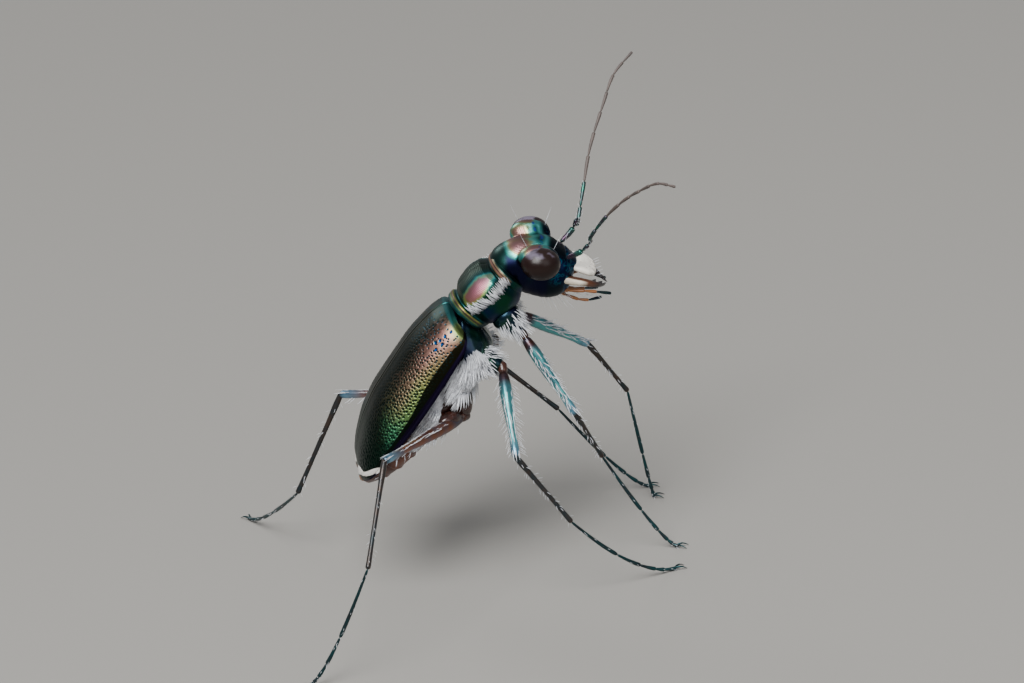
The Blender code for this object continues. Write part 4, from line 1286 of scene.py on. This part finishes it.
feeler_dull = plain_skin("feeler_dull", (0.06, 0.045, 0.04), (0.10, 0.075, 0.065), 0.3, 0.55)
palp_amber = plain_skin("palp_amber", (0.30, 0.12, 0.04), (0.22, 0.08, 0.03), 0.2, 0.35)
palp_dark = plain_skin("palp_dark", (0.01, 0.04, 0.035), (0.01, 0.015, 0.03), 0.2, 0.25, metal=0.7)
blue_femur = femur_skin("femur_skin", ((0.08, 0.32, 0.33), (0.10, 0.42, 0.42)))
hind_femur = femur_skin("hind_femur_skin", ((0.20, 0.065, 0.030), (0.24, 0.10, 0.07)))

wear(prothorax_shell, pronotum_skin())
wear(head_shell, head_skin())
wear(chest_shell, chest_finish())
wear(abdomen_shell, belly_skin)
wear(lip_plate, ivory_skin())
eye_glass = eye_skin()
jaw_horn = jaw_skin()
for i in range(2):
    wear(eyes[i], eye_glass)
    wear(jaws[i], jaw_horn)
    wear(palps[i], palp_amber, palp_dark)
    wear(feelers[i], feeler_metal, feeler_dull)
for key, piece in legs.items():
    coxa, femur = (hind_skin, hind_femur) if "hind" in key else (dark_skin, blue_femur)
    wear(piece, coxa, brown_skin, femur, shin_skin, foot_skin)

# %% [markdown]
# ## Hair
# White hair lies over the chest and belly, stands in a comb along each side of the
# prothorax and in rows on the legs. Hair systems are lost in an exported model, so
# each hair is a small solid blade of three sides: it leaves the skin at an angle and
# bends back to it. Its root's place on the skin's own grid goes into a map.

# %% Blades of hair
BLADE_SHARES = (0.0, 0.3, 0.62, 0.86, 1.0)  # four rings and the tip
BLADE_TAPER = (0.8, 1.0, 0.74, 0.40, 0.0)
ROOT_DEPTH = 0.02
MAP_PATCH = 0.003  # width of a blade's own patch on the map


def blades(roots, outs, ways, place, length, width, rise=25.0, settle=0.6):
    """One blade per root: at share s it has gone s times its length along its way, and risen by
    s - settle * s squared of it. Four rings of three corners narrow to a tip. Place is the
    root's spot on the map, round which the blade has a small patch."""
    n = len(roots)
    ways = unit(ways - (ways * outs).sum(-1, keepdims=True) * outs)
    lean = np.radians(np.broadcast_to(rise, n))[:, None, None]
    long_ = np.broadcast_to(length, n)[:, None, None]
    wide = np.broadcast_to(width, n)[:, None, None]
    s = np.array(BLADE_SHARES)[None, :, None]
    ways, outs = ways[:, None], outs[:, None]
    gone = np.cos(lean) * ways * s + np.sin(lean) * outs * (s - settle * s * s)
    path = roots[:, None] - ROOT_DEPTH * outs + long_ * gone
    ahead = unit(np.cos(lean) * ways + np.sin(lean) * outs * (1 - 2 * settle * s))
    side = unit(np.cross(ahead, outs))
    over = np.cross(side, ahead)
    half = wide * np.array(BLADE_TAPER)[None, :, None]
    ring = np.stack([path + half * side, path + 0.6 * half * over, path - half * side], 2)
    points = np.concatenate([ring[:, :4].reshape(n, 12, 3), path[:, 4:]], 1).reshape(-1, 3)
    quads = np.array([(3 * i + k, 3 * i + 3 + k, 3 * i + 3 + (k + 1) % 3, 3 * i + (k + 1) % 3)
                      for i in range(3) for k in range(3)])
    ends = np.array([(9, 12, 10), (10, 12, 11), (11, 12, 9), (0, 1, 2)])
    spot = np.array([(k / 3, i / 4) for i in range(4) for k in range(3)] + [(0.5, 1.0)])
    parts = []
    for faces in (quads, ends):
        corner = place[:, None, None] + MAP_PATCH * (spot[faces][None] - 0.5)
        index = (np.arange(n) * 13)[:, None, None] + faces[None]
        parts.append((index.reshape(-1, faces.shape[1]), corner.reshape(-1, faces.shape[1], 2)))
    along = np.tile(np.repeat(BLADE_SHARES, (3, 3, 3, 3, 1)), n)
    return points, parts, {"share": along}, 0


def lots(count, seed):
    """A number from 0 to 1 for each of count hairs."""
    return scatter(np.arange(count) + 0.5, seed, seed)


# %% [markdown]
# Each hair needs a root and three directions there: out of the skin, ahead and up. The
# lofts kept their grids for this, and on a limb they follow from its axis.

# %% Roots on skins and limbs
def rooted(name, x, phi, side, reach=1):
    """Roots at lengthwise places x and heights phi, in degrees above the side line, on a skin:
    with outward normals, the ways ahead and up round the side, and places on the grid. The
    ways are taken over reach rows and columns, so that a wide reach passes over fine relief."""
    grid, rows = SKINS[name]
    cols = grid.shape[1]
    i = np.clip(np.searchsorted(rows, x), reach, len(rows) - 1 - reach)
    a = np.radians(phi if side > 0 else 180 - phi)
    j = np.round(a / (2 * np.pi) * cols).astype(int) % cols
    ahead = unit(grid[i + reach, j] - grid[i - reach, j])
    up = unit(grid[i, (j + reach) % cols] - grid[i, (j - reach) % cols]) * side
    out = unit(np.cross(up, ahead)) * side
    return grid[i, j], out, ahead, up, np.stack([j / cols, i / len(rows)], 1)


def on_limb(start, end, radii, t, angle, shift=0.0):
    """Roots at shares t and angles from the upper side, in degrees, on a straight limb."""
    start, end = np.asarray(start), np.asarray(end)
    ahead = unit(end - start)
    side = unit(np.cross(ahead, UPWARD))
    over = np.cross(side, ahead)
    a = np.radians(angle)[:, None]
    out = np.cos(a) * over + np.sin(a) * side
    radius = flowing(np.linspace(0, 1, len(radii)), radii, t)[:, None]
    place = np.stack([(angle / 360) % 1 * 0.9 + 0.05, 0.05 + 0.9 * t + shift], 1)
    roots = start + (end - start) * t[:, None] + 0.95 * radius * out
    return roots, out, np.broadcast_to(ahead, out.shape), place


# %% [markdown]
# White hair scatters light inside itself. A little sheen stands for that, and the
# roots are painted greyer as shade, since they lie in each other's shade.

# %% Finish of the hair
# The grey at the roots is painted shade between the hairs.
HAIR_ROOT_SHADE, HAIR_TIP = (0.30, 0.31, 0.35), (0.86, 0.88, 0.92)


def hair_skin():
    """Painted shade: grey at the root, where the hairs shade each other, and white from the middle to the
    tip, with grey clouds.
    """
    made = new_finish("white_hair", 0.45, sheen=0.2)
    tone = ramp(made, mask(made, "share"), [(0.0, HAIR_ROOT_SHADE), (0.55, HAIR_TIP)])
    cloud = stretched(made, spots(made, 0.08, 2), 0.35, 0.65, 0.0, 0.35)
    drive(made, "Base Color", blend(made, cloud, tone, HAIR_ROOT_SHADE))
    return made


white_hair = hair_skin()
coats = []


def coat(name, *shells):
    """A hair piece with the map that the export needs."""
    coats.append(wear(mesh_object(name, shells, uv_name="OFBake"), white_hair))


# %% [markdown]
# A row of long white blades stands along the knife edge of the prothorax. The local
# direction of the skin would tilt with that edge, so it is taken over a wider reach.

# %% Comb of the prothorax
COMB_COUNT = 66


def comb(side):
    """A row of broad blades that stand up along the side line, fanned to the front and the rear."""
    share = np.linspace(0, 1, COMB_COUNT)
    wild, more, lean = (lots(COMB_COUNT, seed) for seed in (11, 12, 13))
    x = 0.10 + 1.31 * share + 0.03 * (wild - 0.5)
    phi = 1 - 8 * share + 5 * (more - 0.5)
    roots, outs, ahead, up, place = rooted("prothorax", x, phi, side, 9)
    back = flowing([0, 0.15, 0.4, 0.8, 1.0], [-0.35, -0.05, 0.12, -0.10, -0.6], share) + 0.5 * (lean - 0.5)
    return blades(roots + ROOT_DEPTH * outs, outs, up - back[:, None] * ahead, place,
                  0.34 + 0.12 * wild, 0.015 + 0.008 * more, 16 + 14 * more, 0.4)


# %% [markdown]
# The chest wears a thick coat that lies to the rear, and the first belly plates a
# thinner one. Hair strokes could be combed by hand; here two lines over the skin's own
# angles say where the coat begins and ends, and the hash places each hair between.

# %% Coats of the chest and the abdomen
CHEST_COUNT = 2300


def pleural_coat(side):
    """Lying hair from below the wing case down to the middle line, thinner at the front."""
    one, two, three = (lots(CHEST_COUNT, seed) for seed in (21, 22, 23))
    x = -0.56 - 1.45 * one
    limit = flowing([-2.1, -1.95, -1.78, -1.62, -1.5, -1.0, -0.7, -0.4],
                    [-75, -52, -20, 10, 26, 20, 8, -14], x)
    phi = limit - (limit + 88) * two
    roots, outs, ahead, up, place = rooted("chest", x, phi, side)
    loose = step(-1.00, -0.62, x)
    rise = -0.14 - 0.55 * loose + 0.35 * (three - 0.5) * (1 + loose)
    ways = -ahead * (1 - 0.45 * loose)[:, None] + up * rise[:, None]
    return blades(roots, outs, ways, place, (0.42 + 0.24 * three) * (1 - 0.3 * loose),
                  0.012 + 0.008 * three, 7 + 9 * three + 12 * loose, 0.62)


def sternite_coat(side, name, front, rear, count):
    """Flat hair that runs to the rear below the rim, from the chest onto the first belly plates."""
    one, two, three = (lots(count, seed) for seed in (31, 32, 33))
    x = front + (rear - front) * one
    limit = flowing([-3.6, -3.45, -3.2, -2.9, -1.8], [-22, -8, 8, 22, 30], x)
    low = flowing([-3.4, -3.2, -3.0, -2.7, -2.4, -2.1, -1.8], [-14, -26, -32, -20, -6, 4, 16], x)
    phi = limit - (limit - low) * two
    roots, outs, ahead, up, place = rooted(name, x, phi, side)
    ways = -ahead + up * (0.22 * (three - 0.5))[:, None]
    return blades(roots, outs, ways, place, 0.36 + 0.16 * three, 0.012 + 0.006 * three, 8 + 7 * three)


for side, word in WORDS.items():
    coat(f"comb_{word}", comb(side))
    coat(f"chest_coat_{word}", pleural_coat(side))
    coat(f"belly_coat_{word}", sternite_coat(side, "chest", -1.84, -2.44, 620),
         sternite_coat(side, "abdomen", -2.44, -3.40, 1100))


# %% [markdown]
# Stiff white bristles stand in rows on the femora, and short spines on the tibiae and
# feet. The rows are told by an angle round the leg and a share of its length.

# %% Hair of the legs
COXA_TUFTS = {"fore": (180, 0.35, 0.95), "mid": (190, 0.15, 0.72), "hind": (30, 0.05, 0.28)}
FEMUR_ROWS = {"fore": (72, 34, 112, 24), "mid": (72, 34, 46, 40), "hind": (146, 11, 50, 46)}


def row(line, count, seed, spread, angles, length, width, rise, down=0.0, stray=0.5):
    """Hairs on a limb given as start, end and radii: over the shares spread of its length, and
    within a range of angles round a middle one, both in degrees."""
    t = spread[0] + (spread[1] - spread[0]) * (np.arange(count) + 0.8 * lots(count, seed)) / count
    wild = lots(count, seed + 1)
    angle = angles[0] + angles[1] * (lots(count, seed + 2) - 0.5)
    roots, outs, ahead, place = on_limb(*line, t, angle, 0.001 * seed)
    ways = ahead + stray * (wild - 0.5)[:, None] * np.cross(outs, ahead) + down * np.array((0, 0, -1.0))
    return blades(roots, outs, ways, place, length * (0.75 + 0.5 * wild), width,
                  rise * (0.8 + 0.4 * wild), 0.35)


def leg_hair(pair, word):
    """Tufts on the coxa; on the femur a sparse standing row on either side and lying rows above,
    below and on both flanks; short spines on the tibia and the foot. A hind leg's standing rows
    are lower and thinner, as the wing cases are close above it."""
    root, hip, knee, ankle, toe = leg_joints(pair, word)
    count, low, high = COXA_TUFTS[pair]
    lower, sparse, flank, dense = FEMUR_ROWS[pair]
    ahead = unit(knee - hip)
    femur = (hip + 0.14 * ahead, knee + 0.03 * ahead, FEMUR_RADII)
    shells = [row((root, hip, COXA_RADII), count, 41, (low, high), (0, 360), 0.35, 0.014, 20, 0.5)]
    for centre, seed in ((lower, 44), (-lower, 47)):
        shells.append(row(femur, sparse, seed, (0.10, 0.95), (centre, 44), 0.37, 0.0135, 52))
    for centre, seed, some in ((8, 50, 44), (180, 53, 30), (flank, 56, dense), (-flank, 59, dense)):
        shells.append(row(femur, some, seed, (0.08, 0.93), (centre, 16), 0.36, 0.0105, 7, 0.0, 0.14))
    shells.append(row((knee, ankle, TIBIA_RADII), 34, 62, (0.06, 0.99), (0, 360), 0.20, 0.0080, 58))
    path = foot_curve(ankle, toe, STANCE[f"{pair}_{word}"][5], np.linspace(0, 1, 9))
    for k in range(8):
        line = (path[k], path[k + 1], (0.045, 0.045))
        shells.append(row(line, 5, 65 + 3 * k, (0.2, 1.0), (180, 200), 0.11, 0.006, 40))
    coat(f"leg_hair_{pair}_{word}", *shells)


for key in legs:
    leg_hair(*key.split("_"))

# %% [markdown]
# A few long feelers of hair stand over the eyes, on the lip, the cheeks and the palps.
# There are so few that each one is placed by a row of numbers.

# %% Hair of the head and the feelers
def on_head(table, side):
    """Single hairs from rows of (x, y, z of the root, x, y, z of the way, length)."""
    rows = np.array(table, float)
    mirror = np.array((1, side, 1))
    roots = put(rows[:, :3] * mirror, HEAD)
    ways = unit(pointed(rows[:, 3:6] * mirror, HEAD))
    outs = unit(np.cross(ways, pointed((0.3, 1.0, 0.2), HEAD)))
    place = 0.5 + 0.2 * rows[:, :2] * mirror[:2] - (0.2, 0)
    width = np.where(rows[:, 6] > 0.40, 0.0115, 0.0085)
    return blades(roots, outs, ways, place, 1.3 * rows[:, 6], width, 10, 0.4)


ORBIT_HAIRS = [(0.46, 0.78, 0.56, -0.45, 0.15, 0.9, 0.46), (1.08, 0.70, 0.44, 0.35, 0.2, 0.9, 0.52),
               (1.62, 0.40, 0.14, 0.30, 0.25, 0.9, 0.34)]
LIP_HAIRS = [(2.42, y, -0.22 - 0.2 * y * y, 1.0, 0.3 * y, 0.35, 0.16) for y in (0.10, 0.26, 0.42)]
CHEEK_HAIRS = [(1.02 + 0.09 * i, 0.26 + 0.05 * (i % 3), -0.93 + 0.02 * i, 0.35 + 0.12 * i, 0.2, -1.0,
                0.38 + 0.08 * (i % 3)) for i in range(7)]
NECK_HAIRS = [(0.30 + 0.16 * i, 0.30, -0.82, 0.5, 0.2, -0.9, 0.20) for i in range(4)]
PALP_HAIRS = [(1.7 + 0.13 * i, 0.45 - 0.06 * (i % 3), -0.82 - 0.08 * (i % 2),
               0.7, 0.1, -0.6 + 1.1 * (i % 2), 0.16) for i in range(9)]
HEAD_HAIRS = ORBIT_HAIRS + LIP_HAIRS + CHEEK_HAIRS + NECK_HAIRS + PALP_HAIRS


def feeler_hair(side):
    """A few short spines on the first four articles of a feeler."""
    path, _ = along_path(feeler_line(side), 15, np.linspace(0.04, 0.38, 15))
    shells = []
    for i in range(14):
        at, angle = lots(3, 91 + i), 360 * lots(3, 90 + i)
        roots, outs, ahead, place = on_limb(path[i], path[i + 1], (0.05, 0.05), at, angle, 0.002 * i)
        shells.append(blades(roots, outs, ahead, place, 0.13, 0.007, 50, 0.3))
    return shells


for side, word in WORDS.items():
    coat(f"feeler_hair_{word}", *feeler_hair(side))
    coat(f"head_hair_{word}", on_head(HEAD_HAIRS, side))
count_faces("hair", coats)

# %% [markdown]
# ## Floor and light
# The beetle stands on a plain pale floor. Metal skin shows what it mirrors, so large
# soft lamps matter more than strong ones: a wide one overhead for the back, a smaller
# one from the camera's left for the side, and a dim even sky so that no part is black.

# %% Floor and light
def floor_sheet():
    """A square far wider than the view; nothing on it moves."""
    far = 600 * MM
    mesh = bpy.data.meshes.new("floor")
    mesh.from_pydata([(-far, -far, 0), (far, -far, 0), (far, far, 0), (-far, far, 0)], [], [(0, 1, 2, 3)])
    made = bpy.data.objects.new("floor", mesh)
    bpy.context.scene.collection.objects.link(made)
    finish = new_finish("floor_paper", 0.8, specular=0.2)
    shader_of(finish).inputs["Base Color"].default_value = (0.27, 0.26, 0.24, 1)
    return wear(made, finish)


BEETLE_MIDDLE = (0, 0, 5)


def softbox(name, place, size, power):
    """A square lamp at a place in millimetres, aimed at the middle of the beetle."""
    lamp = bpy.data.lights.new(name, "AREA")
    lamp.size = size * MM
    lamp.energy = power
    made = bpy.data.objects.new(name, lamp)
    made.location = Vector(place) * MM
    aim = Vector(BEETLE_MIDDLE) - Vector(place)
    made.rotation_euler = aim.to_track_quat("-Z", "Y").to_euler()
    bpy.context.scene.collection.objects.link(made)


floor = floor_sheet()
sky = bpy.data.worlds.new("sky")
sky.use_nodes = True
glow = sky.node_tree.nodes["Background"]
glow.inputs["Color"].default_value = (0.80, 0.84, 0.92, 1)
glow.inputs["Strength"].default_value = 0.30
bpy.context.scene.world = sky
softbox("overhead", (-30, -75, 135), 105, 0.46)
softbox("front_side", (90, -120, 80), 100, 0.04)
softbox("back_rim", (-60, 120, 80), 40, 0.04)

# %% [markdown]
# ## Riding and replacing
# Each piece stands for one solid of the frame, which is then hidden, and takes its
# place on the one body.

# %% Pieces onto the frame
def stands_for(piece, solid):
    """Put a piece on the one body, in the place of a solid, which is hidden."""
    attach(piece, "root")
    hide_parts(solid)


stands_for(prothorax_shell, "prothorax")
stands_for(chest_shell, "pterothorax")
stands_for(abdomen_shell, "abdomen")
stands_for(head_shell, "head")
stands_for(lip_plate, "labrum")
for i, word in enumerate(WORDS.values()):
    stands_for(wing_cases[i], f"elytron_{word}")
    stands_for(eyes[i], f"eye_{word}")
    stands_for(jaws[i], f"mandible_{word}")
    stands_for(palps[i], f"palp_{word}")
    stands_for(feelers[i], f"antenna_{word}")
for key, piece in legs.items():
    stands_for(piece, f"leg_{key}")
for piece in coats:
    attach(piece, "root")
